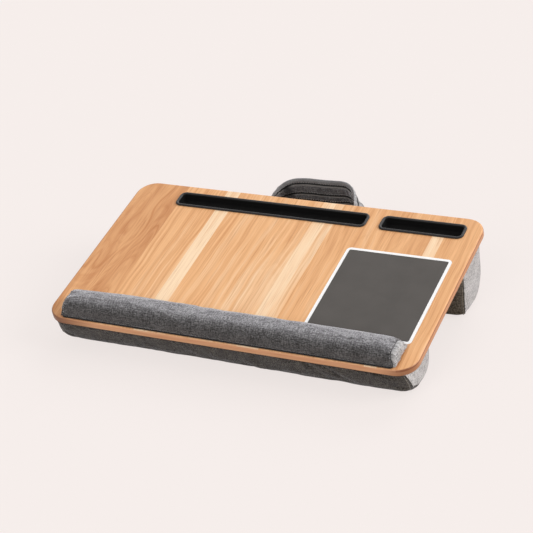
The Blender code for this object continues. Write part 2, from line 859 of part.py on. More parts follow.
def handle():
    """The padded band that swings on its sewn ends: a fabric sleeve, and the foam in its grip."""
    cover = add_piece("handle_cover", handle_mesh(0, 0, False), linen, handle_hinge)
    thicken(cover, HANDLE_FABRIC_THICKNESS, -1)
    wall = HANDLE_FABRIC_THICKNESS + HANDLE_PADDING_CLEARANCE
    inner = handle_mesh(wall, HANDLE_PADDING_START_SHARE, True)
    add_piece("handle_padding", inner, foam_white, handle_hinge)


def seat_on_origin():
    """Move the desk so that the bottom centre of its bounding box is at the origin."""
    bpy.context.view_layer.update()
    graph = bpy.context.evaluated_depsgraph_get()
    low = Vector((math.inf, math.inf, math.inf))
    high = -low
    for piece in parts.objects:
        if piece.type != "MESH":
            continue
        for corner in piece.evaluated_get(graph).data.vertices:
            place = piece.matrix_world @ corner.co
            low = Vector(map(min, low, place))
            high = Vector(map(max, high, place))
    desk.location -= Vector(((low.x + high.x) / 2, (low.y + high.y) / 2, low.z))
    bpy.context.view_layer.update()


clear_scene()
parts = new_collection("lap_desk")
cutters = new_collection("cutters")

wood = new_material("oak_laminate", (0.78, 0.50, 0.27), 0.45)
fibreboard = new_material("fibreboard", (0.42, 0.28, 0.16), 0.8)
linen = new_material("grey_linen", (0.14, 0.14, 0.145), 0.95)
foam_white = new_material("foam", (0.75, 0.72, 0.62), 0.95)
black_plastic = new_material("black_plastic", (0.02, 0.02, 0.021), 0.4)
white_plastic = new_material("white_border", (0.9, 0.9, 0.88), 0.5)
grey_pad = new_material("grey_pad", (0.115, 0.107, 0.098), 0.7)

desk = new_empty("desk", location=(0, 0, STAND_HEIGHT))
board_axes = new_empty("board_axes", desk, tilt=BOARD_TILT)
envelope = board_envelope()

front_section = bolster_section(front_bolster_outline(), FRONT_BOLSTER_DRAW_IN)
rear_section = bolster_section(rear_bolster_outline(), REAR_BOLSTER_DRAW_IN)
stuffed_bar("front_bolster", front_section, BOLSTER_LENGTH, END_PANEL_DOME, BOLSTER_STEPS, desk)
rear_foam = stuffed_bar(
    "rear_bolster", rear_section, BOLSTER_LENGTH, END_PANEL_DOME, BOLSTER_STEPS, desk
)
stuffed_bar(
    "wrist_rest",
    wrist_rest_section(),
    WRIST_REST_LENGTH,
    WRIST_REST_DOME,
    WRIST_STEPS,
    board_axes,
)

board_core, board_laminate = board_pieces()
tray("long_tray", LONG_TRAY_WIDTH, long_tray_place(), board_core, board_laminate, rear_foam)
tray("short_tray", SHORT_TRAY_WIDTH, short_tray_place(), board_core, board_laminate, rear_foam)
mouse_pad(board_core, board_laminate)
underside_fabric()

handle_hinge = new_empty("handle_hinge", desk, handle_hinge_place(rear_section))
handle_tab("handle_tab_left", rear_section, LEFT)
handle_tab("handle_tab_right", rear_section, RIGHT)
handle()
seat_on_origin()
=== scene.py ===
"""A tilted lap desk on stuffed bolsters, dressed for a studio picture.

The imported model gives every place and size. Lengths are in metres. +X is to the user's right, +Y
points away from the user and +Z is up.
"""

import json

import bmesh
import bpy
import numpy as np
from mathutils import Matrix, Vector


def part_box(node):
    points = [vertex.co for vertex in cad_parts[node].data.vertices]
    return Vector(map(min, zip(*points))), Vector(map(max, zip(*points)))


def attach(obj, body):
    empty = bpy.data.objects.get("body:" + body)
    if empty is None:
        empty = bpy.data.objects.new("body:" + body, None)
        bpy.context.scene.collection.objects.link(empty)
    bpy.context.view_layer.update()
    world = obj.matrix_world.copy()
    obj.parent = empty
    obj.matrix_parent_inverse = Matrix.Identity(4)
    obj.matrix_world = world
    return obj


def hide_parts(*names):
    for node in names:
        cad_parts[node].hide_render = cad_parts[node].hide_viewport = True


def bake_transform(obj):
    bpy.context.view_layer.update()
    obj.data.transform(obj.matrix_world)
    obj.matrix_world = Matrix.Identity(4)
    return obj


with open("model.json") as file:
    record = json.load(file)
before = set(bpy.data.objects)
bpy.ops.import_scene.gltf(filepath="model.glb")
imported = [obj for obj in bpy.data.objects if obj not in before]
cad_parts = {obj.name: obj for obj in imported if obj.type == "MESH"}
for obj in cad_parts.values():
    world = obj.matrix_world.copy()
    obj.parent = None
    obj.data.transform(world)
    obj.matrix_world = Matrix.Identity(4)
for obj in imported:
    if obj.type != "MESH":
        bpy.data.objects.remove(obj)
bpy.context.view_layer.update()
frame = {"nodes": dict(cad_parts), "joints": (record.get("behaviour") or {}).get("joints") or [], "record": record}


# The studio. A pale floor and a pale surround, soft light from everywhere and three wide lamps, the
# strongest at the right, and the camera at the photograph's angle, turned a little about its axis.
CAMERA_PLACE = (1.0021, -1.8875, 1.2679)
CAMERA_RIGHT = np.array((0.90216, 0.41810, -0.10628))
CAMERA_UP = np.array((-0.12198, 0.48354, 0.86678))
CAMERA_LENS = 110.84
SURROUND_COLOR = (0.913, 0.847, 0.823, 1)
SURROUND_LIGHT = 0.40
FLOOR_BOUNCE = (0.38, 0.31, 0.25, 1)
FLOOR_HALF_WIDTH = 30
FLOOR_SHADE_SHARE = 0.15
LAMP_ANGLE = 35
LAMPS = {
    "side": ((0.86, 0.12, 0.50), 2.15),
    "front": ((-0.15, -0.80, 0.58), 0.85),
    "back": ((0.15, 0.75, 0.64), 0.85),
}


def add_node(tree, kind, output=0, sockets=None, **settings):
    """A new node's output, with its sockets filled by values or by other nodes' outputs."""
    node = tree.nodes.new("ShaderNode" + kind)
    for key, setting in settings.items():
        setattr(node, key, setting)
    for key, value in (sockets or {}).items():
        if isinstance(value, bpy.types.NodeSocket):
            tree.links.new(value, node.inputs[key])
        else:
            node.inputs[key].default_value = value
    return node.outputs[output] if node.outputs else None


def seen_or_lit(tree, lit, seen):
    """Show camera, mirror and glass rays one shader, and light that spreads the other."""
    ray = add_node(tree, "LightPath", "Is Camera Ray")
    for kind in ("Is Glossy Ray", "Is Transmission Ray"):
        other = add_node(tree, "LightPath", kind)
        ray = add_node(tree, "Math", 0, {0: ray, 1: other}, operation="MAXIMUM")
    return add_node(tree, "MixShader", 0, {0: ray, 1: lit, 2: seen})


def cleared_tree(owner):
    """The empty node tree of a material or a world."""
    owner.use_nodes = True
    owner.node_tree.nodes.clear()
    return owner.node_tree


def placed(name, data):
    """A new object in the scene."""
    piece = bpy.data.objects.new(name, data)
    bpy.context.scene.collection.objects.link(piece)
    return piece


def axes_matrix(right, up, back, place=(0, 0, 0)):
    """The matrix that turns an object's own axes to these and moves it to its place."""
    axes = np.eye(4)
    axes[:3] = np.stack((right, up, back, place), axis=1)
    return Matrix(axes)


camera_data = bpy.data.cameras.new("camera")
camera_data.lens = CAMERA_LENS
camera = placed("camera", camera_data)
camera_back = np.cross(CAMERA_RIGHT, CAMERA_UP)
camera.matrix_world = axes_matrix(CAMERA_RIGHT, CAMERA_UP, camera_back, CAMERA_PLACE)
bpy.context.scene.camera = camera
bpy.context.scene.view_settings.view_transform = "Standard"

world = bpy.data.worlds.new("surround")
bpy.context.scene.world = world
tree = cleared_tree(world)
surround = seen_or_lit(
    tree,
    add_node(tree, "Background", 0, {"Color": (1, 1, 1, 1), "Strength": SURROUND_LIGHT}),
    add_node(tree, "Background", 0, {"Color": SURROUND_COLOR, "Strength": 1.0}),
)
add_node(tree, "OutputWorld", sockets={"Surface": surround})

floor_material = bpy.data.materials.new("floor")
tree = cleared_tree(floor_material)
floor_glow = add_node(tree, "Emission", 0, {"Color": SURROUND_COLOR, "Strength": 1.0})
floor_shade = add_node(tree, "BsdfDiffuse", 0, {"Color": SURROUND_COLOR})
floor_look = seen_or_lit(
    tree,
    add_node(tree, "BsdfDiffuse", 0, {"Color": FLOOR_BOUNCE}),
    add_node(tree, "MixShader", 0, {0: FLOOR_SHADE_SHARE, 1: floor_glow, 2: floor_shade}),
)
add_node(tree, "OutputMaterial", sockets={"Surface": floor_look})
floor_mesh = bpy.data.meshes.new("floor")
floor_corners = np.array(((-1, -1, 0), (1, -1, 0), (1, 1, 0), (-1, 1, 0))) * FLOOR_HALF_WIDTH
floor_mesh.from_pydata(floor_corners.tolist(), [], [(0, 1, 2, 3)])
floor_mesh.materials.append(floor_material)
placed("floor", floor_mesh)

for lamp_name, (towards_lamp, strength) in LAMPS.items():
    lamp_data = bpy.data.lights.new(lamp_name, "SUN")
    lamp_data.energy = strength
    lamp_data.angle = np.radians(LAMP_ANGLE)
    back = np.array(towards_lamp) / np.linalg.norm(towards_lamp)
    side = np.cross((0, 1, 0), back)
    side /= np.linalg.norm(side)
    placed(lamp_name, lamp_data).matrix_world = axes_matrix(side, np.cross(back, side), back)


# The board. Fibreboard with a printed oak laminate stuck over its top and round its edges, in
# boards of many tones that run from front to back, with pale sapwood strips between them.
PLANKS = (
    # left edge, tone from dark heartwood to pale sapwood, and how far its figure arches
    (-0.290, 0.27, 1.0),
    (-0.208, 0.56, 0.1),
    (-0.140, 0.98, 0.0),
    (-0.116, 0.57, 0.0),
    (-0.052, 0.64, 0.3),
    (0.025, 0.95, 0.1),
    (0.047, 0.78, 0.0),
    (0.060, 0.52, 0.1),
    (0.112, 0.48, 0.3),
    (0.160, 0.42, 0.6),
    (0.219, 0.90, 0.0),
    (0.237, 0.46, 0.2),
)
HEARTWOOD = (0.60, 0.275, 0.112, 1)
OAK = (0.84, 0.47, 0.225, 1)
SAPWOOD = (0.95, 0.71, 0.475, 1)
GRAIN_SHADE = (0.78, 0.64, 0.52, 1)
PORE_SHADE = (0.70, 0.55, 0.44, 1)
EDGE_DARK = (0.82, 0.385, 0.20, 1)
EDGE_LIGHT = (0.95, 0.52, 0.295, 1)
# These four darken the board's edge by painted shade; the line along the arris is partly the laminate's dark joint
# as well.
ARRIS_SHADE = (0.42, 0.27, 0.19, 1)
SIDE_SHADE = (0.66, 0.58, 0.50, 1)
LEFT_CORNER_SHADE = (0.34, 0.28, 0.25, 1)
RIGHT_CORNER_SHADE = (0.55, 0.50, 0.46, 1)
FIBREBOARD_DARK = (0.20, 0.125, 0.07, 1)
FIBREBOARD_LIGHT = (0.36, 0.24, 0.14, 1)
BEHIND_TRAY = (0.200, 0.137)
BEHIND_TRAY_TONE = (0.46, 0.46, 0.46, 1)
PLANK_STEP = 37.0
LEFT_CORNER = (-0.266, -0.205)
RIGHT_CORNER = (0.240, 0.272)
RIGHT_CORNER_DEPTH = (-0.160, -0.135)
ARRIS_HEIGHTS = (-0.0036, -0.0022)


class Finish:
    """A procedural finish on a Principled shader: each method adds a node or two to it."""

    def __init__(self, name):
        self.material = bpy.data.materials.new(name)
        self.material.use_nodes = True
        self.tree = self.material.node_tree
        self.shader = self.tree.nodes["Principled BSDF"]

    def node(self, kind, output, sockets=None, **settings):
        """One more node in this finish."""
        return add_node(self.tree, kind, output, sockets, **settings)

    def place(self):
        """The place of each point on the object."""
        return self.node("TexCoord", "Object")

    def cloth_place(self):
        """The place of each point on the flat cloth."""
        return self.node("UVMap", "UV", uv_map="cloth")

    def facing(self, direction):
        """How far each point faces a direction, from 1 through 0 to -1."""
        sockets = {0: self.node("TexCoord", "Normal"), 1: direction}
        return self.node("VectorMath", 1, sockets, operation="DOT_PRODUCT")

    def mapped(self, place, scale=(1, 1, 1), turn=(0, 0, 0), shift=(0, 0, 0)):
        """A place scaled, then turned, then shifted."""
        return self.node(
            "Mapping", 0, {"Vector": place, "Scale": scale, "Rotation": turn, "Location": shift}
        )

    def parts_of(self, vector):
        """The three parts of a vector."""
        first = self.node("SeparateXYZ", 0, {0: vector})
        return first.node.outputs[0], first.node.outputs[1], first.node.outputs[2]

    def vector(self, x, y, z):
        """A vector of three parts."""
        return self.node("CombineXYZ", 0, {0: x, 1: y, 2: z})

    def sum(self, first, second, operation="ADD"):
        """Two numbers added, or joined by another operation."""
        return self.node("Math", 0, {0: first, 1: second}, operation=operation)

    def times(self, first, second):
        """Two numbers multiplied."""
        return self.sum(first, second, "MULTIPLY")

    def noise(self, place, detail=2.0, roughness=0.5):
        """Smooth noise with one wave to each unit of the place."""
        sockets = {"Vector": place, "Scale": 1.0, "Detail": detail, "Roughness": roughness}
        return self.node("TexNoise", 0, sockets)

    def grain(self, place, scale, detail=2.0, roughness=0.5, shift=(0, 0, 0)):
        """Noise with so many waves to a metre, one number for all axes or one for each."""
        scale = (scale,) * 3 if np.isscalar(scale) else scale
        return self.noise(self.mapped(place, scale, shift=shift), detail, roughness)

    def between(self, value, low, high, first=0.0, last=1.0):
        """First below the low value, last above the high one, and in proportion between."""
        return self.node("MapRange", 0, {0: value, 1: low, 2: high, 3: first, 4: last})

    def ramp(self, value, stops, interpolation="LINEAR"):
        """The colour that the stops give a value from 0 to 1."""
        socket = self.node("ValToRGB", 0, {0: value})
        band = socket.node.color_ramp
        band.interpolation = interpolation
        while len(band.elements) < len(stops):
            band.elements.new(1.0)
        for element, (position, color) in zip(band.elements, stops):
            element.position = position
            element.color = color
        return socket

    def mix(self, factor, first, second, blend="MIX"):
        """Two colours mixed, or multiplied where the factor is 1."""
        sockets = {0: factor, 6: first, 7: second}
        return self.node("Mix", 2, sockets, data_type="RGBA", blend_type=blend)

    def finish(self, color, roughness, height=None, depth=0.0, **values):
        """Join the colour, roughness and relief to the shader and set its plain values."""
        for key, value in {"Base Color": color, "Roughness": roughness, **values}.items():
            if isinstance(value, bpy.types.NodeSocket):
                self.tree.links.new(value, self.shader.inputs[key])
            else:
                self.shader.inputs[key].default_value = value
        if height is not None:
            relief = {"Height": height, "Strength": 1.0, "Distance": depth}
            self.tree.links.new(self.node("Bump", 0, relief), self.shader.inputs["Normal"])
        return self.material


def node_corners(name):
    """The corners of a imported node, one to a row."""
    mesh = frame["nodes"][name].data
    corners = np.empty(len(mesh.vertices) * 3, np.float32)
    mesh.vertices.foreach_get("co", corners)
    return corners.reshape(-1, 3).astype(float)


def dress(name, material):
    """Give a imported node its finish."""
    node = frame["nodes"][name]
    node.data.materials.clear()
    node.data.materials.append(material)


pad_mount = next(m for m in frame["record"]["mounts"] if m["name"] == "mouse_pad_surface")
BOARD_UP = np.array(pad_mount["axis"], float)
BOARD_BACK = np.array((0, BOARD_UP[2], -BOARD_UP[1]))
BOARD_TILT = np.arctan2(-BOARD_UP[1], BOARD_UP[2])
laminate_corners = node_corners("board_laminate")
board_reach = laminate_corners @ BOARD_BACK
board_heights = laminate_corners @ BOARD_UP
board_middle = (board_reach.min() + board_reach.max()) / 2
BOARD_ORIGIN = board_middle * BOARD_BACK + board_heights.max() * BOARD_UP
BOARD_THICKNESS = board_heights.max() - board_heights.min()
BOARD_WIDTH = np.ptp(laminate_corners[:, 0])


def on_board(x, y, z):
    """World places of points given along the board's width, its depth and off its top face."""
    x, y, z = (np.asarray(part, float)[..., None] for part in (x, y, z))
    return BOARD_ORIGIN + x * np.array((1.0, 0, 0)) + y * BOARD_BACK + z * BOARD_UP


def board_box(name):
    """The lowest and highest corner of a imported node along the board's own axes."""
    corners = node_corners(name) - BOARD_ORIGIN
    along = np.stack((corners[:, 0], corners @ BOARD_BACK, corners @ BOARD_UP), axis=1)
    return along.min(axis=0), along.max(axis=0)


def board_place(look):
    """A finish's places along the board's own axes."""
    shift = (0, -BOARD_ORIGIN @ BOARD_BACK, -BOARD_ORIGIN @ BOARD_UP)
    return look.mapped(look.place(), turn=(-BOARD_TILT, 0, 0), shift=shift)


def oak_finish():
    """Planks by their place across, with figure from the level lines of stretched noise."""
    look = Finish("oak_laminate")
    x, y, z = look.parts_of(board_place(look))
    across = look.between(x, -BOARD_WIDTH / 2, BOARD_WIDTH / 2)
    edges = [(edge + BOARD_WIDTH / 2) / BOARD_WIDTH for edge, _, _ in PLANKS]
    tones = [(edge, (tone, tone, tone, 1)) for edge, (_, tone, _) in zip(edges, PLANKS)]
    arches = [(edge, (arch, arch, arch, 1)) for edge, (_, _, arch) in zip(edges, PLANKS)]
    tone = look.ramp(across, tones, "CONSTANT")
    arch = look.ramp(across, arches, "CONSTANT")
    behind_tray = look.times(
        look.between(x, BEHIND_TRAY[0], BEHIND_TRAY[0] + 0.0005),
        look.between(y, BEHIND_TRAY[1], BEHIND_TRAY[1] + 0.0005),
    )
    tone = look.mix(behind_tray, tone, BEHIND_TRAY_TONE)
    plank = look.times(tone, PLANK_STEP)

    def veins(across, rate, detail=2, roughness=0.5):
        """Noise drawn out along the planks, with a pattern of its own in each tone of plank."""
        return look.noise(look.vector(across, look.times(y, rate), plank), detail, roughness)

    drift = veins(look.times(x, 9), 5)
    hills = veins(look.times(x, 17), 3.4)
    level = look.sum(look.times(hills, 26), look.times(x, 60))
    bent = look.sum(look.times(x, 230), look.times(drift, 5))
    figure = look.mix(arch, veins(bent, 2.4, 3, 0.6), veins(level, 1.5, 3, 0.6))
    fine = veins(look.times(x, 560), 11, 2, 0.7)
    blush = veins(look.times(x, 21), 6)
    swerve = look.sum(look.times(x, 95), look.times(drift, 4))
    bands = veins(swerve, 2.2)

    shade = look.sum(look.between(blush, 0.3, 0.7, -0.10, 0.10), tone)
    shade = look.sum(look.between(bands, 0.3, 0.7, -0.15, 0.15), shade)
    base = look.ramp(shade, [(0.1, HEARTWOOD), (0.55, OAK), (0.97, SAPWOOD)])
    lines = look.between(figure, 0.44, 0.68)
    weaker = look.between(tone, 0.6, 0.95, 0.85, 0.3)
    grained = look.mix(look.times(lines, weaker), base, GRAIN_SHADE, "MULTIPLY")
    pores = look.between(fine, 0.54, 0.74, 0.0, 0.75)
    top = look.mix(pores, grained, PORE_SHADE, "MULTIPLY")

    # Painted shade on the edge band: darker where it faces sideways, at the two front corners, and in a line along
    # the top of the right-hand edge, which is partly the laminate's dark joint. Near the corners the shaded edge
    # colour is carried up over the rounding of the top face.
    upward, rightward = look.facing(BOARD_UP), look.facing((1, 0, 0))
    left_corner = look.between(x, *LEFT_CORNER, 1.0, 0.0)
    right_corner = look.times(
        look.between(x, *RIGHT_CORNER), look.between(y, *RIGHT_CORNER_DEPTH, 1.0, 0.0)
    )
    corners = look.sum(left_corner, right_corner, "MAXIMUM")
    shaded_rounding = look.times(look.between(upward, 0.90, 0.985, 1.0, 0.0), corners)
    edge = look.sum(look.between(upward, 0.35, 0.8, 1.0, 0.0), shaded_rounding, "MAXIMUM")
    strata = look.noise(look.vector(look.times(x, 26), look.times(y, 26), look.times(z, 900)), 2)
    edge_color = look.ramp(strata, [(0.3, EDGE_DARK), (0.7, EDGE_LIGHT)])
    sideward = look.between(look.sum(rightward, 0.0, "ABSOLUTE"), 0.2, 0.9)
    arris = look.times(
        look.between(z, *ARRIS_HEIGHTS, 0.0, 0.75), look.between(rightward, 0.02, 0.3)
    )
    for share, shade in (
        (sideward, SIDE_SHADE),
        (left_corner, LEFT_CORNER_SHADE),
        (right_corner, RIGHT_CORNER_SHADE),
        (arris, ARRIS_SHADE),
    ):
        edge_color = look.mix(share, edge_color, shade, "MULTIPLY")
    color = look.mix(edge, top, edge_color)
    roughness = look.between(figure, 0.3, 0.7, 0.38, 0.5)
    height = look.sum(lines, pores)
    return look.finish(color, roughness, height, -0.00006, **{"Specular IOR Level": 0.4})


def fibreboard_finish():
    """Pressed brown fibres: fine speckle over soft clouds."""
    look = Finish("fibreboard")
    place = look.place()
    speckle = look.grain(place, 900, 3, 0.7)
    clouds = look.grain(place, 40)
    value = look.sum(look.times(speckle, 0.7), look.times(clouds, 0.3))
    color = look.ramp(value, [(0.35, FIBREBOARD_DARK), (0.65, FIBREBOARD_LIGHT)])
    return look.finish(color, 0.85, speckle, 0.0001)


dress("board_laminate", oak_finish())
dress("board_core", fibreboard_finish())


# The trays. Two black mouldings pressed into slots behind the laptop's place, each with a bead
# round its mouth that lies on the board, and a pocket with a round-bottomed wall.
BEAD_WIDTH = 0.0045
BEAD_HEIGHT = 0.0022
BEAD_FOOT = 0.0003
RIM_INSETS = (0.0006, 0.0001)
RIM_LIP = 0.0002
FOOT_INSET = 0.001
FOOT_RISES = (0.0005, 0.002)
TRAY_SEAT = 0.00015
TRAY_SKIN = 0.0015
TRAY_CORNER = 0.010
POCKET_FILLET = 0.003
POCKET_DRAFT = 0.0004
POCKET_DEPTH = 0.014
CORNER_STEPS = 16
SIDE_STEPS = 14
SPINE_SHARE = 1.6
MERGE_DISTANCE = 0.000002
BLACK = (0.003, 0.003, 0.003, 1)
# Grey on the beads' tops: a painted highlight, faint where a bead faces front.
BEAD_FAINT_HIGHLIGHT = (0.022, 0.022, 0.022, 1)
BEAD_BRIGHT_HIGHLIGHT = (0.120, 0.120, 0.122, 1)


def squares(corner):
    """The corners of the squares of a grid of corner numbers."""
    sides = corner[:-1, :-1], corner[1:, :-1], corner[1:, 1:], corner[:-1, 1:]
    return np.stack(sides, axis=-1).reshape(-1, 4)


def face_outward(mesh, merge=0.0):
    """Merge the corners that fall together, where that is wanted, and turn all faces outward."""
    shape = bmesh.new()
    shape.from_mesh(mesh)
    if merge:
        bmesh.ops.remove_doubles(shape, verts=shape.verts, dist=merge)
        bmesh.ops.dissolve_degenerate(shape, edges=shape.edges, dist=merge / 2)
    bmesh.ops.recalc_face_normals(shape, faces=shape.faces)
    shape.to_mesh(mesh)
    shape.free()


def surface(name, patches, *materials):
    """An object from grids of places, each with its places on the flat cloth or with None.

    A grid may also name which material it has. Grid squares become faces, and corners that fall
    together are merged.
    """
    places, faces, cloth, kinds, start = [], [], [], [], 0
    for grid, flat, *kind in patches:
        rows, columns = grid.shape[:2]
        square = squares(np.arange(rows * columns).reshape(rows, columns))
        flat = np.zeros((rows, columns, 2)) if flat is None else flat
        places.append(grid.reshape(-1, 3))
        faces.append(square + start)
        cloth.append(flat.reshape(-1, 2)[square])
        kinds.append(np.full(len(square), kind[0] if kind else 0, np.int32))
        start += rows * columns
    places, faces, cloth = (np.concatenate(part) for part in (places, faces, cloth))
    mesh = bpy.data.meshes.new(name)
    mesh.vertices.add(len(places))
    mesh.vertices.foreach_set("co", places.astype(np.float32).ravel())
    mesh.loops.add(faces.size)
    mesh.loops.foreach_set("vertex_index", faces.astype(np.int32).ravel())
    mesh.polygons.add(len(faces))
    mesh.polygons.foreach_set("loop_start", np.arange(0, faces.size, 4, dtype=np.int32))
    mesh.polygons.foreach_set("material_index", np.concatenate(kinds))
    mesh.update(calc_edges=True)
    mesh.uv_layers.new(name="cloth").data.foreach_set("uv", cloth.astype(np.float32).ravel())
    face_outward(mesh, MERGE_DISTANCE)
    mesh.shade_smooth()
    for material in materials:
        mesh.materials.append(material)
    return placed(name, mesh)


def rounded_ring(width, depth, radius):
    """Places and outward directions round a rectangle with round corners.

    Each corner is a quarter circle about its own centre, and the sides are straight.
    """
    places, normals = [], []
    for corner, (side_x, side_y) in enumerate(((1, 1), (-1, 1), (-1, -1), (1, -1))):
        angle = np.pi / 2 * (corner + np.linspace(0, 1, CORNER_STEPS + 1))
        normal = np.stack((np.cos(angle), np.sin(angle)), axis=1)
        centre = np.array((side_x * (width / 2 - radius), side_y * (depth / 2 - radius)))
        places.append(centre + radius * normal)
        normals.append(normal)
    filled_places, filled_normals = [], []
    share = np.linspace(0, 1, SIDE_STEPS + 1)[1:-1, None]
    for corner in range(4):
        straight = places[corner][-1] * (1 - share) + places[(corner + 1) % 4][0] * share
        filled_places += [places[corner], straight]
        filled_normals += [normals[corner], np.repeat(normals[corner][-1:], SIDE_STEPS - 1, axis=0)]
    filled_places.append(places[0][:1])
    filled_normals.append(normals[0][:1])
    return np.concatenate(filled_places), np.concatenate(filled_normals)


def black_plastic_finish():
    """Satin moulded plastic with a fine spark-eroded texture, and a painted highlight in grey on each
    bead's top, brighter where the bead faces back.
    """
    look = Finish("black_plastic")
    place = look.place()
    grain = look.grain(place, 2600)
    wear_and_lit_share = look.grain(place, 70, 3)
    _, _, height = look.parts_of(board_place(look))
    satin = look.between(height, -0.0015, 0.0, 0.5, 0.0)
    roughness = look.sum(look.between(wear_and_lit_share, 0.3, 0.7, 0.36, 0.46), satin)
    # Painted highlight: the bead's top is grey, brighter where it faces back.
    bead = look.mix(look.between(look.facing(BOARD_BACK), -0.35, 0.65), BEAD_FAINT_HIGHLIGHT, BEAD_BRIGHT_HIGHLIGHT)
    color = look.mix(look.between(height, 0.0001, 0.0010), BLACK, bead)
    return look.finish(color, roughness, grain, 0.00002, **{"Specular IOR Level": 0.18})


def closed_profile(low, high, radius, insets, heights):
    """A profile of insets and heights carried round a rounded rectangle, closed in its middle."""
    centre = (low + high) / 2
    ring, normals = rounded_ring(high[0] - low[0], high[1] - low[1], radius)
    outline = ring[None] - normals[None] * insets[:, None, None]
    across, depth = np.moveaxis(centre[:2] + outline, -1, 0)
    profile = on_board(across, depth, 0 * across + heights[:, None])
    reach = (high - low)[0] / 2 - radius * SPINE_SHARE
    spine = centre[0] + np.clip(ring[:, 0], -reach, reach)
    first, last = (
        on_board(spine, 0 * spine + centre[1], 0 * spine + height) for height in heights[[0, -1]]
    )
    grids = profile, np.stack((profile[-1], last)), np.stack((first, profile[0]))
    return [(grid, None) for grid in grids]


def tray(name, material):
    """A bead round the mouth and a pocket below it, as one profile of insets and heights.

    The bead is half an ellipse, and the pocket's wall meets its floor in a quarter circle.
    """
    low, high = board_box(name)
    floor_height = high[2] - POCKET_DEPTH
    around = np.linspace(0, np.pi, 13)
    bead_inset = BEAD_WIDTH / 2 * (1 - np.cos(around))
    bead_height = TRAY_SEAT + BEAD_FOOT + BEAD_HEIGHT * np.sin(around)
    bead_height[-1] = TRAY_SEAT
    turn = np.linspace(0, np.pi / 2, 7)
    fillet_inset = BEAD_WIDTH + POCKET_DRAFT + POCKET_FILLET * (1 - np.cos(turn))
    fillet_height = floor_height + POCKET_FILLET * (1 - np.sin(turn))
    under = floor_height - TRAY_SKIN
    outer = BEAD_WIDTH - TRAY_SKIN
    outer_insets = (outer + POCKET_FILLET, outer + FOOT_INSET, outer, outer, *RIM_INSETS)
    foot_heights = (under, under + FOOT_RISES[0], under + FOOT_RISES[1])
    outer_heights = (*foot_heights, TRAY_SEAT, TRAY_SEAT, TRAY_SEAT + RIM_LIP)
    insets = np.concatenate((outer_insets, bead_inset, fillet_inset))
    heights = np.concatenate((outer_heights, bead_height, fillet_height))
    patches = closed_profile(low, high, TRAY_CORNER, insets, heights)
    piece = surface(f"{name}_moulding", patches, material)
    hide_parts(name)
    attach(piece, "desk")


black_plastic = black_plastic_finish()
tray("long_tray", black_plastic)
tray("short_tray", black_plastic)


# The mouse pad. Dark grey synthetic leather with a smooth matt face, laid with its white plastic
# border in a shallow recess.
PAD_DARK = (0.072, 0.066, 0.061, 1)
PAD_LIGHT = (0.084, 0.077, 0.071, 1)
BORDER_WHITE = (0.94, 0.935, 0.93, 1)


def pad_finish():
    """Pressed leather grain: small cells over faint clouds."""
    look = Finish("grey_pad")
    place = look.place()
    cells = look.node("TexVoronoi", 0, {"Vector": place, "Scale": 1500.0}, feature="SMOOTH_F1")
    clouds = look.grain(place, 26, 3)
    color = look.mix(look.between(clouds, 0.3, 0.7), PAD_DARK, PAD_LIGHT)
    roughness = look.between(cells, 0.1, 0.7, 0.5, 0.62)
    return look.finish(color, roughness, cells, 0.00003, **{"Specular IOR Level": 0.3})


def border_finish():
    """White moulded plastic, its upper face a little scuffed."""
    look = Finish("white_border")
    grain = look.grain(look.place(), 1200)
    return look.finish(BORDER_WHITE, look.between(grain, 0.3, 0.7, 0.4, 0.52), grain, 0.00001)


dress("mouse_pad", pad_finish())
dress("mouse_pad_border", border_finish())


# The front bolster. A linen bag stuffed with foam, cut to a leaning flat front, a narrow sole and a
# round heel, sewn shut by an end panel on each side and stuck under the board's front edge. Its end
# panels are painted lighter and its cover painted darker: painted light and painted shade.
# The front bolster's cover in darker, warmer tones of the linen: painted shade under the board.
BOLSTER_SHADED_TONES = ((0.016, 0.015, 0.013, 1), (0.064, 0.058, 0.052, 1), (0.185, 0.17, 0.15, 1))
# The end panels' linen in lighter tones: painted light.
END_PANEL_LIT_TONES = ((0.25, 0.245, 0.25, 1), (0.61, 0.59, 0.585, 1), (0.86, 0.84, 0.84, 1))
LINEN_SHEEN = 0.9
LINEN_ROUGHNESS = 0.92
LINEN_RELIEF = 0.0003
FLECK_SHARE = 0.30
THREAD_PITCH = 0.0011
SHEEN_TINT = (0.97, 0.95, 1.0, 1)
THREAD_COLOR = (0.58, 0.56, 0.54, 1)
# Colours of painted shade in grooves and folds, and of painted highlights beside them.
PAINTED_SHADE_COLOR = (0.004, 0.004, 0.004, 1)
PAINTED_HIGHLIGHT_COLOR = (0.34, 0.32, 0.295, 1)
SEAM_LINE_WIDTH = 0.0016
FRONT_BOLSTER_INSET = 0.005
FRONT_BOLSTER_DEPTH = 0.0885
FRONT_BOLSTER_CORNER_SHARES = (0.165, 0.41)
FRONT_BOLSTER_TOE_RISE = 0.0125
FRONT_BOLSTER_RADII = (0.006, 0.030, 0.032)
FRONT_BOLSTER_DRAW_IN = 0.0045
CROWN_SHARE = 0.2
SEAM_POWER = 14
BOLSTER_LIFT = 0.3
BOLSTER_BELLY = 0.003
BOLSTER_DOME = 0.0018
DOME_POWER = 2.6
END_GAP = 0.0004
SOLE_CUT = 0.0005
BOARD_GAP = 0.0003
TUCK = 0.0012
TUCK_HEIGHT = 0.0011
SEAM_DEPTH = 0.0015
SEAM_WIDTH = 0.0009
SEAM_ROLL = 0.0006
SEAM_ROLL_PLACE = 0.0021
SEAM_ROLL_WIDTH = 0.0011
STITCH_DIP = 0.00045
STITCH_DIP_WIDTH = 0.0005
SHOULDER_WIDTH = 0.0015
FREE_WIDTH = 0.004
HELD_WIDTH = 0.0025
SEAM_SHOULDER = 0.0007
END_REACH = 0.022
END_POWER = 3
FRONT_BOLSTER_END = (0.0015, 0.007, 0.011)
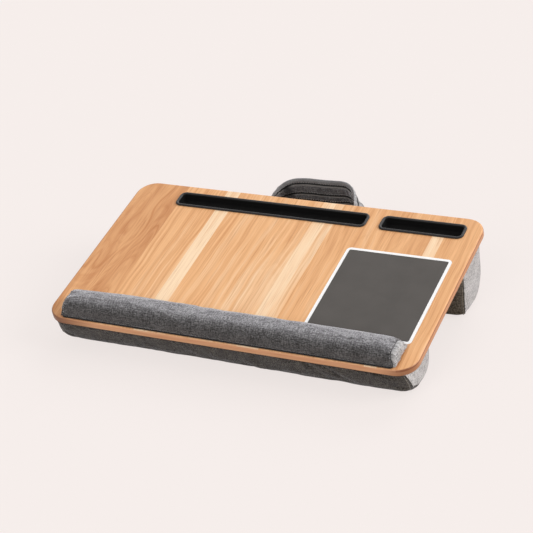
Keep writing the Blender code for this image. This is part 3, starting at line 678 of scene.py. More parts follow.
FRONT_CORNER = 0.0045
FRONT_CORNER_WIDTH = 0.007
FRONT_FULL_START = 0.06
FRONT_FULL_REACH = 0.10
FRONT_FULL_RISE = 0.0016
STITCH_INSET = 0.0033
STITCH_PITCH = 0.0042
STITCH_LENGTH = 0.0030
STITCH_WIDTH = 0.0010
STITCH_TAPER = 0.999
STITCH_FLATNESS = 0.8
STITCH_SINK = 0.00005
STITCH_DROOP = 0.00025
GATHER_PITCH = 0.017
GATHER_DEPTH = 0.0005
GATHER_WIDTH = 0.0016
GATHER_DEPTH_SHARES = (0.3, 1.0)
GATHER_SCATTER = 0.35
GATHER_REACHES = (0.005, 0.012)
GATHER_LEAN = 0.45
GATHER_START = 0.0009
PANEL_GATHER_SHARE = 0.7
OUTLINE_STEPS = 257
LID_STEPS = 64
BAG_STRIDE = 4
BAG_STEP = 0.0045
PANEL_RINGS = 9
PANEL_SHIFT = (0.7, 0.3)  # along the flat cloth, so that each panel shows a part of its own
PANEL_SHARES = np.concatenate(
    (np.arange(0, 0.06, 0.006), np.arange(0.06, 0.16, 0.0125), np.linspace(0.16, 1, 20))
)
RING_INSETS = np.array((0, 3, 6, 9, 12, 16, 20, 24, 28, 32, 36, 41, 48, 60, 75, 95, 120)) * 0.0001
FAR_RINGS = 70
AIR_PRESSURE = 4.0
CLOTH_SPARE = 0.012
CLOTH_FRAMES = 20
SLACK_WAVES = ((0.0003, 0.35, 0.11), (0.00015, -0.8, 0.047))  # height, slant, pitch
SWELL_LIMIT = 0.0011


def linen_finish(name, tones, crown=None, lit_tones=None, lines=(), sheen=LINEN_SHEEN):
    """Plain weave of mottled yarn: slubs along single threads, over a fine cross of threads.

    The crown is an axis of the cloth and a stretch along it, before which the yarn takes lighter
    tones of its own: painted light. Each line is an axis, a place, a half width, a share and a colour
    mixed in; the lines are painted shade and painted light.
    """
    look = Finish(name)
    flat = look.cloth_place()
    weft_slubs = look.grain(flat, (80, 820, 1), 2, 0.6)
    warp_slubs = look.grain(flat, (820, 80, 1), 2, 0.6, (7, 3, 0))
    weft = look.grain(flat, (260, 2300, 1), 1, 0.5, (2, 5, 0))
    warp = look.grain(flat, (2300, 260, 1), 1, 0.5, (5, 1, 0))
    clouds = look.grain(flat, (45, 45, 1))
    u, v, _ = look.parts_of(flat)
    turns = 2 * np.pi / THREAD_PITCH
    waves = look.times(
        look.sum(look.times(u, turns), 0.0, "SINE"), look.sum(look.times(v, turns), 0.0, "SINE")
    )
    slubs = look.sum(weft_slubs, warp_slubs)
    threads = look.times(look.sum(weft, warp), 0.6)
    yarns = look.sum(slubs, look.sum(threads, look.times(clouds, 0.4)))
    flecks = look.grain(flat, (360, 520, 1), 1, 0.5, (9, 4, 0))
    value = look.sum(look.between(yarns, 1.48, 2.12), look.times(waves, 0.05))
    value = look.sum(value, look.between(flecks, 0.3, 0.7, -FLECK_SHARE, FLECK_SHARE))
    color = look.ramp(value, list(zip((0.05, 0.5, 0.95), tones)))
    # Painted light: before the crown's stretch ends, the yarn takes lighter tones.
    if crown is not None:
        lit_color = look.ramp(value, list(zip((0.05, 0.5, 0.95), lit_tones)))
        wear_and_lit_share = look.node(
            "MapRange",
            0,
            {0: (u, v)[crown[0]], 1: crown[1], 2: crown[2], 3: 1.0, 4: 0.0},
            interpolation_type="SMOOTHSTEP",
        )
        color = look.mix(wear_and_lit_share, color, lit_color)
    for axis, place, half_width, share, line_color in lines:
        off = look.sum(look.sum((u, v)[axis], place, "SUBTRACT"), 0.0, "ABSOLUTE")
        shown = look.between(off, 0.2 * half_width, half_width, share, 0.0)
        color = look.mix(shown, color, line_color)
    height = look.sum(look.times(waves, 0.35), look.times(yarns, 0.7))
    return look.finish(
        color,
        LINEN_ROUGHNESS,
        height,
        LINEN_RELIEF,
        **{
            "Sheen Weight": sheen,
            "Sheen Roughness": 0.35,
            "Sheen Tint": SHEEN_TINT,
            "Specular IOR Level": 0.1,
        },
    )


def seam_lines(half_length, dark=0.75, light=0.5):
    """Painted shade in the groove of each end seam and a painted highlight on the roll beside it, as
    lines for a finish.
    """
    lines = [(0, side * half_length, SEAM_LINE_WIDTH, dark, PAINTED_SHADE_COLOR) for side in (-1, 1)]
    inset = half_length - STITCH_INSET
    return lines + [(0, side * inset, SEAM_LINE_WIDTH, light, PAINTED_HIGHLIGHT_COLOR) for side in (-1, 1)]


def cornered_path(corners, radii, count):
    """Places at even steps along straight runs joined by arcs.

    An arc's centre lies on its corner's bisector, at the radius over the sine of half the corner.
    """
    corners = np.array(corners, float)
    runs = [corners[:1]]
    for before, corner, after, radius in zip(corners, corners[1:], corners[2:], radii):
        first = (before - corner) / np.linalg.norm(before - corner)
        last = (after - corner) / np.linalg.norm(after - corner)
        half = np.arccos(np.clip(first @ last, -1, 1)) / 2
        bisector = (first + last) / np.linalg.norm(first + last)
        centre = corner + bisector * radius / np.sin(half)
        start = corner + first * radius / np.tan(half) - centre
        end = corner + last * radius / np.tan(half) - centre
        sweep = np.arctan2(start[0] * end[1] - start[1] * end[0], start @ end)
        angle = np.linspace(0, sweep, 40)[:, None]
        sideways = np.array((-start[1], start[0]))
        runs.append(centre + start * np.cos(angle) + sideways * np.sin(angle))
    runs.append(corners[-1:])
    path = np.concatenate(runs)
    length = run_lengths(path)
    even = np.linspace(0, length[-1], count)
    return at_lengths(path, length, even)


def run_lengths(path):
    """How far each place of a path lies along it."""
    return np.concatenate(([0], np.cumsum(np.linalg.norm(np.diff(path, axis=0), axis=1))))


def at_lengths(values, length, where):
    """The values of a path's places at other lengths along it."""
    return np.stack([np.interp(where, length, part) for part in values.T], axis=1)


def unit(vectors):
    """Each row of vectors at a length of 1."""
    return vectors / np.linalg.norm(vectors, axis=1, keepdims=True)


def hump(off, width):
    """A bell curve: e to the minus square of the offset over the width."""
    return np.exp(-((off / width) ** 2))


def eased(share):
    """A share from 0 to 1 that starts and ends level: three squares less two cubes."""
    return share**2 * (3 - 2 * share)


def outward(path):
    """Outward directions of a path that runs with the stuffing on its left."""
    along = unit(np.gradient(path, axis=0))
    return np.stack((along[:, 1], -along[:, 0]), axis=1)


def smooth_through(values, spots):
    """Values between those of a row, by cubics that leave each along its neighbours' line."""
    before, after = 2 * values[:1] - values[1:2], 2 * values[-1:] - values[-2:-1]
    values = np.concatenate((before, values, after))
    spots = np.clip(spots, 0, len(values) - 3 - 1e-9)
    index = spots.astype(int)
    share = (spots - index).reshape(-1, *[1] * (values.ndim - 1))
    a, b, c, d = (values[index + step] for step in range(4))
    return (
        2 * b
        + (c - a) * share
        + (2 * a - 5 * b + 4 * c - d) * share**2
        + (3 * b - a - 3 * c + d) * share**3
    ) / 2


def ripple(along, pitch, seed):
    """Uneven waves of about one pitch, from -1 to 1: three sines with seeded phases."""
    phases = np.random.default_rng(seed).uniform(0, 2 * np.pi, 3)
    turns = 2 * np.pi * along / pitch
    waves = np.sin(turns + phases[0] + 1.6 * np.sin(turns * 0.23 + phases[1]))
    return waves * (0.62 + 0.38 * np.sin(turns * 0.37 + phases[2]))


def seam_relief(distance):
    """How far cloth stands off near a seam: a groove, a low roll beyond it and a stitched dip."""
    groove = -SEAM_DEPTH * hump(distance, SEAM_WIDTH)
    roll = SEAM_ROLL * hump(distance - SEAM_ROLL_PLACE, SEAM_ROLL_WIDTH)
    dip = -STITCH_DIP * hump(distance - STITCH_INSET, STITCH_DIP_WIDTH)
    return groove + roll + dip


def gathers(around, distance, length, pitch, depth, seed):
    """Creases where cloth is drawn up at a seam: narrow valleys that fade away from it.

    Each valley is a bell curve across and along, and is shallow close to the seam itself.
    """
    draw = np.random.default_rng(seed)
    count = int(length / pitch)
    spots = (np.arange(count) + 0.5 + draw.uniform(-GATHER_SCATTER, GATHER_SCATTER, count)) * pitch
    depths = depth * draw.uniform(*GATHER_DEPTH_SHARES, count)
    reaches = draw.uniform(*GATHER_REACHES, count)
    leans = draw.uniform(-GATHER_LEAN, GATHER_LEAN, count)
    away = np.asarray(distance)[..., None]
    gap = np.asarray(around)[..., None] - spots - leans * away
    valleys = np.exp(-((gap / GATHER_WIDTH) ** 2) - (away / reaches) ** 2)
    return -(valleys * depths).sum(axis=-1) * (1 - np.exp(-distance / GATHER_START))


def bar_rings(half_length):
    """Places of a bar's rings along it: wide apart in the middle and close at its seams."""
    near = half_length - RING_INSETS
    far = np.linspace(0, near[-1], FAR_RINGS)[:-1]
    half = np.concatenate((far, near[::-1]))
    return np.concatenate((-half[::-1][:-1], half))


def closed_rows(start, rows, around):
    """Corner numbers of rows that close round: the first column comes again as the last."""
    corner = start + np.arange(rows * around).reshape(rows, around)
    return np.concatenate((corner, corner[:, :1]), axis=1)


def blown_up(places, faces, held):
    """How far each corner of a closed bag moves when air fills it, by Blender's cloth solver.

    The cloth is a little larger than the bag, so it wrinkles where it is held. The hyperbolic
    tangent keeps each move under the limit.
    """
    mesh = bpy.data.meshes.new("bag")
    mesh.from_pydata(places.tolist(), [], faces)
    face_outward(mesh)
    bag = placed("bag", mesh)
    bag.vertex_groups.new(name="held").add(np.flatnonzero(held).tolist(), 1.0, "REPLACE")
    settings = bag.modifiers.new("cloth", "CLOTH").settings
    settings.vertex_group_mass = "held"
    settings.use_pressure = True
    settings.uniform_pressure_force = AIR_PRESSURE
    settings.shrink_min = -CLOTH_SPARE
    settings.effector_weights.gravity = 0
    for frame_number in range(1, CLOTH_FRAMES + 1):
        bpy.context.scene.frame_set(frame_number)
    filled = bag.evaluated_get(bpy.context.evaluated_depsgraph_get()).data
    moved = np.empty(len(places) * 3, np.float32)
    filled.vertices.foreach_get("co", moved)
    bpy.data.objects.remove(bag)
    bpy.data.meshes.remove(mesh)
    bpy.context.scene.frame_set(1)
    moves = moved.reshape(-1, 3) - places
    far = np.linalg.norm(moves, axis=1, keepdims=True) + 1e-9
    return moves * SWELL_LIMIT * np.tanh(far / SWELL_LIMIT) / far


class StuffedBar:
    """A stuffed bag along X: an outline drawn in towards two domed end panels, and blown up.

    The end is how far its front, its back and its top or sole come in over the last stretch, and
    shorten how much shorter the bag is at each place of the outline.
    """

    def __init__(self, outline, half_length, draw_in, lift, dome, end, shorten, fullness, to_world,
                 keep, seed, dip=None, shoulders=(SEAM_SHOULDER, SEAM_SHOULDER),
                 gather_pitch=GATHER_PITCH, gather_depth=GATHER_DEPTH):
        lid = outline[-1] + (outline[0] - outline[-1]) * np.linspace(0, 1, LID_STEPS + 1)[1:, None]
        self.ring = np.concatenate((outline, lid))
        self.lengths = run_lengths(self.ring)
        self.cloth = len(outline)
        self.out = np.zeros_like(self.ring)
        self.out[: self.cloth] = outward(outline)
        self.out[-1] = self.out[0]
        cloth_length = self.lengths[self.cloth - 1]
        self.from_board = np.minimum(self.lengths, cloth_length - self.lengths).clip(0)
        # the cloth gives most half-way round: the root of the sine of the way round it
        self.weight = np.zeros(len(self.ring))
        self.weight[: self.cloth] = np.sqrt(np.sin(np.pi * np.linspace(0, 1, self.cloth)).clip(0))
        self.half_length, self.draw_in, self.lift, self.dome = half_length, draw_in, lift, dome
        self.to_world, self.keep, self.seed, self.dip = to_world, keep, seed, dip
        self.shoulders, self.gather_pitch, self.gather_depth = shoulders, gather_pitch, gather_depth
        front, back, height = end
        out_y, out_z = self.out.T
        inward = np.stack((np.where(out_y < 0, front, back) * out_y, height * out_z), axis=1)
        self.end_inward = inward * self.weight[:, None]
        self.shorten = shorten(self.ring)[:, None].T
        self.fullness = fullness
        self.fill()

    def bare(self, along):
        """The bag before it is filled: each ring drawn in, more steeply towards the end seams.

        The pull grows with the square of the way to the seam and with a high power of it.
        """
        along = np.asarray(along, float)[:, None]
        reach = np.abs(along) / self.half_length
        pull = self.draw_in * (CROWN_SHARE * reach**2 + (1 - CROWN_SHARE) * reach**SEAM_POWER)
        past = np.abs(along) - self.half_length + END_REACH
        over = np.clip(past / END_REACH, 0, 1) ** END_POWER
        extra = self.fullness(along, self.out) * self.weight
        drawn = pull * self.weight
        (ring_y, ring_z), (out_y, out_z) = self.ring.T, self.out.T
        end_y, end_z = self.end_inward.T
        y = ring_y - out_y * (drawn - extra) - end_y * over
        z = ring_z - out_z * (drawn * self.lift - extra) - end_z * over
        if self.dip is not None:
            from_back = self.lengths - self.lengths[self.cloth - 1]
            z = z - self.dip(along, from_back, self.lengths[-1] - self.lengths)
        x = along - np.sign(along) * self.shorten * over
        return np.stack(np.broadcast_arrays(x, y, z), axis=-1)

    def panel(self, side, rim, share):
        """An end panel: its rim drawn towards its middle, each ring of it standing off further.

        It stands off by one less a power of the way that is left to its middle.
        """
        share = share[:, None, None]
        middle = (rim.min(axis=0) + rim.max(axis=0)) / 2
        places = rim + (middle - rim) * share
        places[..., 0] += side * self.dome * (1 - (1 - share[..., 0]) ** DOME_POWER)
        return places

    def fill(self):
        """Blow up a coarse grid of the bag and keep how far its corners move."""
        rows = int(2 * self.half_length / BAG_STEP)
        cover = self.bare(np.linspace(-self.half_length, self.half_length, rows))[:, ::BAG_STRIDE]
        around = cover.shape[1] - 1
        corner = closed_rows(0, rows, around)
        places, faces, grids = [cover[:, :-1].reshape(-1, 3)], squares(corner).tolist(), [corner]
        start = rows * around
        for end, side in ((0, -1), (-1, 1)):
            rings = self.panel(side, cover[end], np.linspace(0, 1, PANEL_RINGS))
            grid = np.concatenate((corner[end][None], closed_rows(start, PANEL_RINGS - 2, around)))
            middle = start + (PANEL_RINGS - 2) * around
            places += [rings[1:-1, :-1].reshape(-1, 3), rings[-1, :1]]
            faces += squares(grid).tolist()
            faces += [(a, middle, b) for a, b in zip(grid[-1], grid[-1, 1:])]
            grids.append(np.concatenate((grid, np.full((1, around + 1), middle))))
            start = middle + 1
        places = np.concatenate(places)
        held = np.zeros(len(places), bool)
        held[corner[:, self.from_board[::BAG_STRIDE] < HELD_WIDTH]] = True
        moves = blown_up(places, faces, held)
        self.moves = [moves[grid] for grid in grids]

    def swelling(self, which, spots):
        """How far the filled bag stands off the bare one at fractional rows of one of its grids."""
        rows = smooth_through(self.moves[which], spots)
        columns = np.arange(len(self.ring)) / BAG_STRIDE
        return smooth_through(rows.swapaxes(0, 1), columns).swapaxes(0, 1)

    def kept(self, places):
        """Places pressed flat by what the bag rests on."""
        places[..., 2] = self.keep(places[..., 1], places[..., 2])
        return places

    def creases(self, distance, share, seed):
        """A seam's gathers at each distance from it, all round the bag."""
        around = np.broadcast_to(self.lengths, distance.shape)
        depth = self.gather_depth * share
        return gathers(around, distance, self.lengths[-1], self.gather_pitch, depth, seed)

    def cover(self, along):
        """The filled cover's rings, with its seams, gathers and slack."""
        along = np.asarray(along, float)
        rows = len(self.moves[0]) - 1
        places = self.bare(along) + self.swelling(0, (along / self.half_length + 1) / 2 * rows)
        along = along[:, None]
        distance = self.half_length - np.abs(along) + 0 * self.lengths
        sides = [self.creases(distance, 1.0, self.seed + side) for side in (0, 1)]
        slack = sum(
            height * ripple(along + slant * self.lengths, pitch, self.seed + 2 + number)
            for number, (height, slant, pitch) in enumerate(SLACK_WAVES)
        )
        free = 1 - hump(self.from_board, FREE_WIDTH)
        tuck = TUCK * np.exp(-self.from_board / TUCK_HEIGHT)
        off = (seam_relief(distance) + np.where(along > 0, *sides) + slack) * free - tuck
        places[..., 1:] += self.out * off[..., None]
        return self.kept(places)

    def end_panel(self, which, side):
        """A filled end panel: it leaves the seam with a small shoulder and its own gathers."""
        end = [side * self.half_length]
        bare = self.bare(end)[0]
        share = PANEL_SHARES
        places = self.panel(side, bare, share) + self.swelling(which, share * (PANEL_RINGS - 1))
        reach = np.linalg.norm(bare - (bare.min(axis=0) + bare.max(axis=0)) / 2, axis=1)
        distance = share[:, None] * reach
        rim = self.cover(end)[0] - places[0]
        places += rim * hump(distance, SEAM_WIDTH)[..., None]
        creases = self.creases(distance, PANEL_GATHER_SHARE, self.seed + 5 + side)
        shoulder = self.shoulders[side > 0] * (1 - hump(distance, SHOULDER_WIDTH))
        places[..., 0] += side * (shoulder + creases)
        return self.kept(places)

    def patches(self):
        """The cover's grid and the two end panels' grids, each with its flat places."""
        along = bar_rings(self.half_length)
        flat = np.stack(np.broadcast_arrays(along[:, None], self.lengths), axis=-1)
        patches = [(self.to_world(self.cover(along)), flat, 0)]
        for which, side in ((1, -1), (2, 1)):
            places = self.end_panel(which, side)
            shift = PANEL_SHIFT[0], PANEL_SHIFT[1] * side
            patches.append((self.to_world(places), places[..., 1:] + shift, 1))
        return patches

    def seam_stitches(self):
        """Places, directions and outward directions of stitches in a row beside each end seam."""
        rows = []
        for side in (-1, 1):
            low = self.cover([side * (self.half_length - STITCH_INSET)])[0, : self.cloth]
            high = low + np.concatenate((0 * low[:, :1], self.out[: self.cloth] * 0.001), axis=1)
            low, high = self.to_world(low), self.to_world(high)
            rows.append(stitch_row(low, high - low))
        return rows


def stitch_row(path, out, margin=0.004):
    """Stitches at even steps along a path, with its directions along and outwards."""
    length = run_lengths(path)
    count = int((length[-1] - 2 * margin) / STITCH_PITCH)
    spots = margin + STITCH_PITCH * (np.arange(count) + 0.5)
    centre = at_lengths(path, length, spots)
    along = unit(at_lengths(path, length, spots + STITCH_PITCH * 0.1) - centre)
    normal = at_lengths(out, length, spots)
    normal = unit(normal - along * np.sum(normal * along, axis=1, keepdims=True))
    return centre, along, normal


def thread_finish():
    """Twisted sewing thread."""
    look = Finish("thread")
    twist = look.grain(look.place(), 2500)
    return look.finish(THREAD_COLOR, look.between(twist, 0.3, 0.7, 0.7, 0.85), twist, 0.00005)


def stitches(name, rows):
    """Short threads half sunk in the cloth: each is a rounded bar, thickest in its middle.

    Its radius falls as the root of one less the fourth power of the way to its end.
    """
    centre, along, normal = (np.concatenate(part)[:, None, None] for part in zip(*rows))
    across = np.cross(along, normal)
    run = np.linspace(-1, 1, 6)[None, :, None, None]
    turn = np.linspace(0, 2 * np.pi, 7)[None, None, :, None]
    radius = STITCH_WIDTH / 2 * np.sqrt(1 - run**4 * STITCH_TAPER)
    places = (
        centre
        + along * run * STITCH_LENGTH / 2
        + across * radius * np.cos(turn)
        + normal * (radius * np.sin(turn) * STITCH_FLATNESS - STITCH_SINK - STITCH_DROOP * run**2)
    )
    piece = surface(name, [(grid, None) for grid in places], thread)
    return piece


def padded_bar(name, bar, cloth, end_cloth):
    """Make a stuffed bar's mesh, and let it stand for its cover, its foam and its panels."""
    piece = surface(name, bar.patches(), cloth, end_cloth)
    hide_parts(*(f"{name}_{part}" for part in ("cover", "foam", "end_left", "end_right")))
    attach(piece, "desk")
    row = stitches(f"{name}_stitches", bar.seam_stitches())
    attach(row, "desk")


def underside(y):
    """Height of the board's underside over a depth, less the gap that keeps cloth off it."""
    rise = (y - BOARD_ORIGIN[1]) * np.tan(BOARD_TILT)
    return BOARD_ORIGIN[2] + rise - (BOARD_THICKNESS + BOARD_GAP) / np.cos(BOARD_TILT)


def stood(y, z):
    """Heights kept above the floor and below the board."""
    return np.clip(z, 0, underside(y))


def front_fullness(along, out):
    """The front bolster is stuffed a little fuller towards its right end."""
    return FRONT_FULL_RISE * eased(np.clip((along - FRONT_FULL_START) / FRONT_FULL_REACH, 0, 1))


def front_shortening(ring):
    """How much shorter the front bolster is near its front, whose corners are rounded off."""
    return FRONT_CORNER * hump(ring[:, 0] - ring[:, 0].min(), FRONT_CORNER_WIDTH)


def bolster_outline(front, toe, toe_rise, heel, back, radii):
    """A bolster's section: down its front to the toe, along its sole and up its round heel."""
    corners = (
        (front, underside(front)),
        (toe, toe_rise - SOLE_CUT),
        (heel, -SOLE_CUT),
        (back + BOLSTER_BELLY, -SOLE_CUT),
        (back, underside(back)),
    )
    return cornered_path(corners, radii, OUTLINE_STEPS)


lit_end_linen = linen_finish("lit_end_linen", END_PANEL_LIT_TONES)
thread = thread_finish()
board_reach_half = np.ptp(board_reach) / 2 * np.cos(BOARD_TILT)
BOLSTER_HALF_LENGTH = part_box("front_bolster_cover")[1][0] - END_GAP
front_y = BOARD_ORIGIN[1] - board_reach_half + FRONT_BOLSTER_INSET
back_y = front_y + FRONT_BOLSTER_DEPTH
toe, heel = (front_y + share * FRONT_BOLSTER_DEPTH for share in FRONT_BOLSTER_CORNER_SHARES)
front_outline = bolster_outline(
    front_y, toe, FRONT_BOLSTER_TOE_RISE, heel, back_y, FRONT_BOLSTER_RADII
)
front_bar = StuffedBar(
    front_outline, BOLSTER_HALF_LENGTH, FRONT_BOLSTER_DRAW_IN, BOLSTER_LIFT, BOLSTER_DOME,
    FRONT_BOLSTER_END, front_shortening, front_fullness, np.array, stood, seed=11,
)
bolster_seams = seam_lines(BOLSTER_HALF_LENGTH)
# Painted shade: the front bolster's linen is darker and warmer than the wrist rest's.
shaded_bolster_linen = linen_finish("shaded_bolster_linen", BOLSTER_SHADED_TONES, lines=bolster_seams, sheen=0.5)
padded_bar("front_bolster", front_bar, shaded_bolster_linen, lit_end_linen)


# The rear bolster. The same make, taller, with an upright flat front and a large round heel. Its
# top is pressed down by the trays' pockets, which come through the board.
# The rear bolster's cover in lighter, warmer tones of the linen: painted warm reflected light.
REAR_LIT_TONES = ((0.088, 0.072, 0.056, 1), (0.205, 0.174, 0.140, 1), (0.40, 0.35, 0.29, 1))
REAR_BOLSTER_INSET = 0.0105
REAR_BOLSTER_DEPTH = 0.086
REAR_BOLSTER_SOLE_SHARE = 0.20
REAR_BOLSTER_TOE_RISE = 0.004
REAR_BOLSTER_RADII = (0.004, 0.020, 0.045)
REAR_BOLSTER_DRAW_IN = 0.004
REAR_BOLSTER_END = (0.0, 0.007, 0.006)
POCKET_DENT = 0.005
DENT_MARGIN = 0.006
DENT_END = 0.276
DENT_END_REACH = 0.010


def pocket_dent(along, from_back, from_front):
    """How far the lid is pressed down: all of it but for an eased margin along each edge."""
    inside = np.clip(np.minimum(from_back, from_front) / DENT_MARGIN, 0, 1)
    between_ends = np.clip((DENT_END - np.abs(along)) / DENT_END_REACH, 0, 1)
    return POCKET_DENT * eased(inside) * eased(between_ends)


back_y = BOARD_ORIGIN[1] + board_reach_half - REAR_BOLSTER_INSET
front_y = back_y - REAR_BOLSTER_DEPTH
heel = front_y + REAR_BOLSTER_SOLE_SHARE * REAR_BOLSTER_DEPTH
rear_outline = bolster_outline(
    front_y, front_y, REAR_BOLSTER_TOE_RISE, heel, back_y, REAR_BOLSTER_RADII
)
rear_bar = StuffedBar(
    rear_outline, BOLSTER_HALF_LENGTH, REAR_BOLSTER_DRAW_IN, BOLSTER_LIFT, BOLSTER_DOME,
    REAR_BOLSTER_END, lambda ring: 0 * ring[:, 0], lambda along, out: 0.0, np.array, stood, seed=23,
    dip=pocket_dent,
)
# Painted light: the rear bolster's linen is lighter and warmer than the wrist rest's.
lit_rear_linen = linen_finish("lit_rear_linen", REAR_LIT_TONES, lines=bolster_seams, sheen=0.5)
padded_bar("rear_bolster", rear_bar, lit_rear_linen, lit_end_linen)


# The wrist rest. A low linen bar with a D section, stuffed with foam and glued along the board's
# front, on a thin black strip that is painted shade for the crevice under its front, with puffed end
# caps gathered into deep creases. Its top and its end caps are painted lighter: painted light.
LINEN_TONES = ((0.043, 0.041, 0.041, 1), (0.096, 0.093, 0.094, 1), (0.205, 0.199, 0.203, 1))
# Lighter tones for the back and top of the wrist rest's cover: painted light.
WRIST_LIT_TONES = ((0.105, 0.102, 0.107, 1), (0.245, 0.237, 0.248, 1), (0.46, 0.45, 0.465, 1))
# The end caps' linen in lighter tones: painted light.
CAP_LIT_TONES = ((0.20, 0.195, 0.195, 1), (0.42, 0.41, 0.41, 1), (0.64, 0.625, 0.625, 1))
WRIST_LEAN_SHARES = (0.05, 0.07)
WRIST_RADII = (0.017, 0.016)
WRIST_DRAW_IN = 0.0025
WRIST_DOME = 0.0014
WRIST_END = (0.001, 0.002, 0.0030)
WRIST_SHOULDERS = (0.0009, 0.0040)
WRIST_LEAN_IN = 0.0048
WRIST_FORWARD = 0.0008
WRIST_OVERHANG = 0.0004
WRIST_GATHER_DEPTH = 0.0030
WRIST_GATHER_PITCH = 0.0095
WRIST_LIT_CROWN = (1, 0.041, 0.063)
WRIST_RISE = 0.0008
WRIST_LEFT_RISE = 0.0029
WRIST_LEFT_PLACE = -0.155
WRIST_LEFT_WIDTH = 0.065
# Sizes of the black strip under the rest, which stands for the crevice's shade: painted shade.
BACKING_HEIGHT = 0.0019
BACKING_INSET = 0.0016
BACKING_FORWARD = 0.0007
BACKING_ARRIS = 0.0004
BACKING_CORNER = 0.004


def on_backing(y, z):
    """Heights kept above the black strip of painted shade."""
    return np.maximum(z, backing_top)


def wrist_fullness(along, out):
    """The wrist rest's crown stands a little higher all along, and most at its left."""
    rise = WRIST_RISE + WRIST_LEFT_RISE * hump(along - WRIST_LEFT_PLACE, WRIST_LEFT_WIDTH)
    return rise * np.clip(out[:, 1], 0, 1)


def wrist_shortening(ring):
    """How much shorter the wrist rest is at each height: its end caps lean in."""
    return WRIST_LEAN_IN * (ring[:, 1] - ring[:, 1].min()) / np.ptp(ring[:, 1])


def wrist_to_world(places):
    """World places of the wrist rest's own ones, which lie along the board's axes."""
    return on_board(places[..., 0], places[..., 1], places[..., 2])


low, high = board_box("wrist_rest_cover")
low[1] -= WRIST_FORWARD
backing_top = low[2] + BACKING_HEIGHT
wrist_depth = high[1] - low[1]
wrist_outline = cornered_path(
    (
        (high[1], backing_top),
        (high[1] - WRIST_LEAN_SHARES[1] * wrist_depth, high[2]),
        (low[1] + WRIST_LEAN_SHARES[0] * wrist_depth, high[2]),
        (low[1], backing_top),
    ),
    WRIST_RADII,
    OUTLINE_STEPS,
)
wrist_bar = StuffedBar(
    wrist_outline, high[0] + WRIST_OVERHANG, WRIST_DRAW_IN, 1.0, WRIST_DOME, WRIST_END,
    wrist_shortening, wrist_fullness, wrist_to_world, on_backing, seed=41,
    shoulders=WRIST_SHOULDERS, gather_pitch=WRIST_GATHER_PITCH, gather_depth=WRIST_GATHER_DEPTH,
)
wrist_linen = linen_finish(
    "wrist_linen", LINEN_TONES, WRIST_LIT_CROWN, WRIST_LIT_TONES, seam_lines(high[0], 0.7, 0.0)
)
lit_cap_linen = linen_finish("lit_cap_linen", CAP_LIT_TONES)
padded_bar("wrist_rest", wrist_bar, wrist_linen, lit_cap_linen)
# A black strip under the rest's front: painted shade for the crevice there.
shadow_strip = surface(
    "wrist_rest_shadow_strip",
    closed_profile(
        low + (BACKING_INSET, -BACKING_FORWARD, 0),
        high - (BACKING_INSET, BACKING_INSET, 0),
        BACKING_CORNER,
        np.array((1, 0, 0, 1)) * BACKING_ARRIS,
        low[2] + np.array((0, 0.2, 0.8, 1)) * BACKING_HEIGHT,
    ),
    black_plastic,
)
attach(shadow_strip, "desk")


# The underside fabric. One flat piece of the same linen, stretched over the board's underside
# between the bolsters and stuck to it, with a faint wave where it isn't drawn quite flat.
SHEET_THICKNESS = 0.0010
SHEET_DROP = 0.0006
SHEET_WAVE = 0.00025
SHEET_STEPS = (130, 34)

low, high = board_box("underside_fabric")
sheet_x, sheet_y = np.meshgrid(
    *(np.linspace(low[part], high[part], SHEET_STEPS[part]) for part in (0, 1)), indexing="ij"
)
sheet_wave = SHEET_WAVE * ripple(sheet_x + 0.5 * sheet_y, 0.06, 71)
sheet_places = on_board(sheet_x, sheet_y, high[2] + sheet_wave - SHEET_DROP)
sheet_flat = np.stack((sheet_x, sheet_y), axis=-1)
linen = linen_finish("linen", LINEN_TONES)
sheet = surface("underside_linen", [(sheet_places[::-1], sheet_flat[::-1])], linen)
wall = sheet.modifiers.new("wall", "SOLIDIFY")
wall.thickness = SHEET_THICKNESS
wall.offset = 0
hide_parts("underside_fabric")
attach(sheet, "desk")


# The handle. A padded linen band, quilted by rows of stitches, whose flat ends are sewn to the back
# of the rear bolster. It leaves them level, turns up on its edge and closes into a grip.
HANDLE_WIDTH = 0.174
HANDLE_DEPTH = 0.055
HANDLE_GRIP_HEIGHT = 0.0105
BAND_WIDTH = 0.045
BAND_GRIP_THICKNESS = 0.0054
BAND_END_THICKNESS = 0.0030
BAND_STEP = 0.0012
CURVE_STEPS = 2400
FACE_STEPS = 81
ROW_INSETS = (0.0075, 0.0255, 0.0375)
ROW_PINCH = 0.75
ROW_WIDTH = 0.0013
# Lighter tones for the right end of the band's upper face: painted light.
HANDLE_LIT_TONES = ((0.17, 0.168, 0.17, 1), (0.39, 0.385, 0.39, 1), (0.66, 0.65, 0.66, 1))
HANDLE_LIT_STRETCH = (0.085, 0.110)
LEFT_BEND = 0.0565
# A lighter grey along the band's upper edge: painted light.
PAINTED_EDGE_LIGHT_COLOR = (0.36, 0.355, 0.36, 1)
BEND_RISE = 0.0040
BEND_PLACE = 0.046
BEND_WIDTH = 0.019
FLAT_END = 0.03
THICKENING = 0.05
GRIP_CALM = 0.22
TURN_PLACE = 0.070
TURN_WIDTH = 0.022
BAND_FULLNESS = 1.05
BAND_CREASES = (0.0007, 0.00035)
TAB_INSET = 0.001
HINGE_GAP = 0.0006
LOOP_GAP = 0.0004
HANDLE_SHARES = (
    # across, back, up from the hinge and leaning, as shares of half a width, a depth, a height
    # and a right angle
    (1.00, 0.00, 0.00, 0.00),
    (1.00, 0.21, -0.20, 0.09),
    (0.98, 0.45, -0.25, 0.31),
    (0.87, 0.67, 0.00, 0.55),
    (0.72, 0.86, 0.42, 0.73),
    (0.53, 0.98, 0.80, 0.87),
    (0.29, 1.00, 0.98, 0.95),
    (0.00, 1.00, 1.00, 0.96),
)


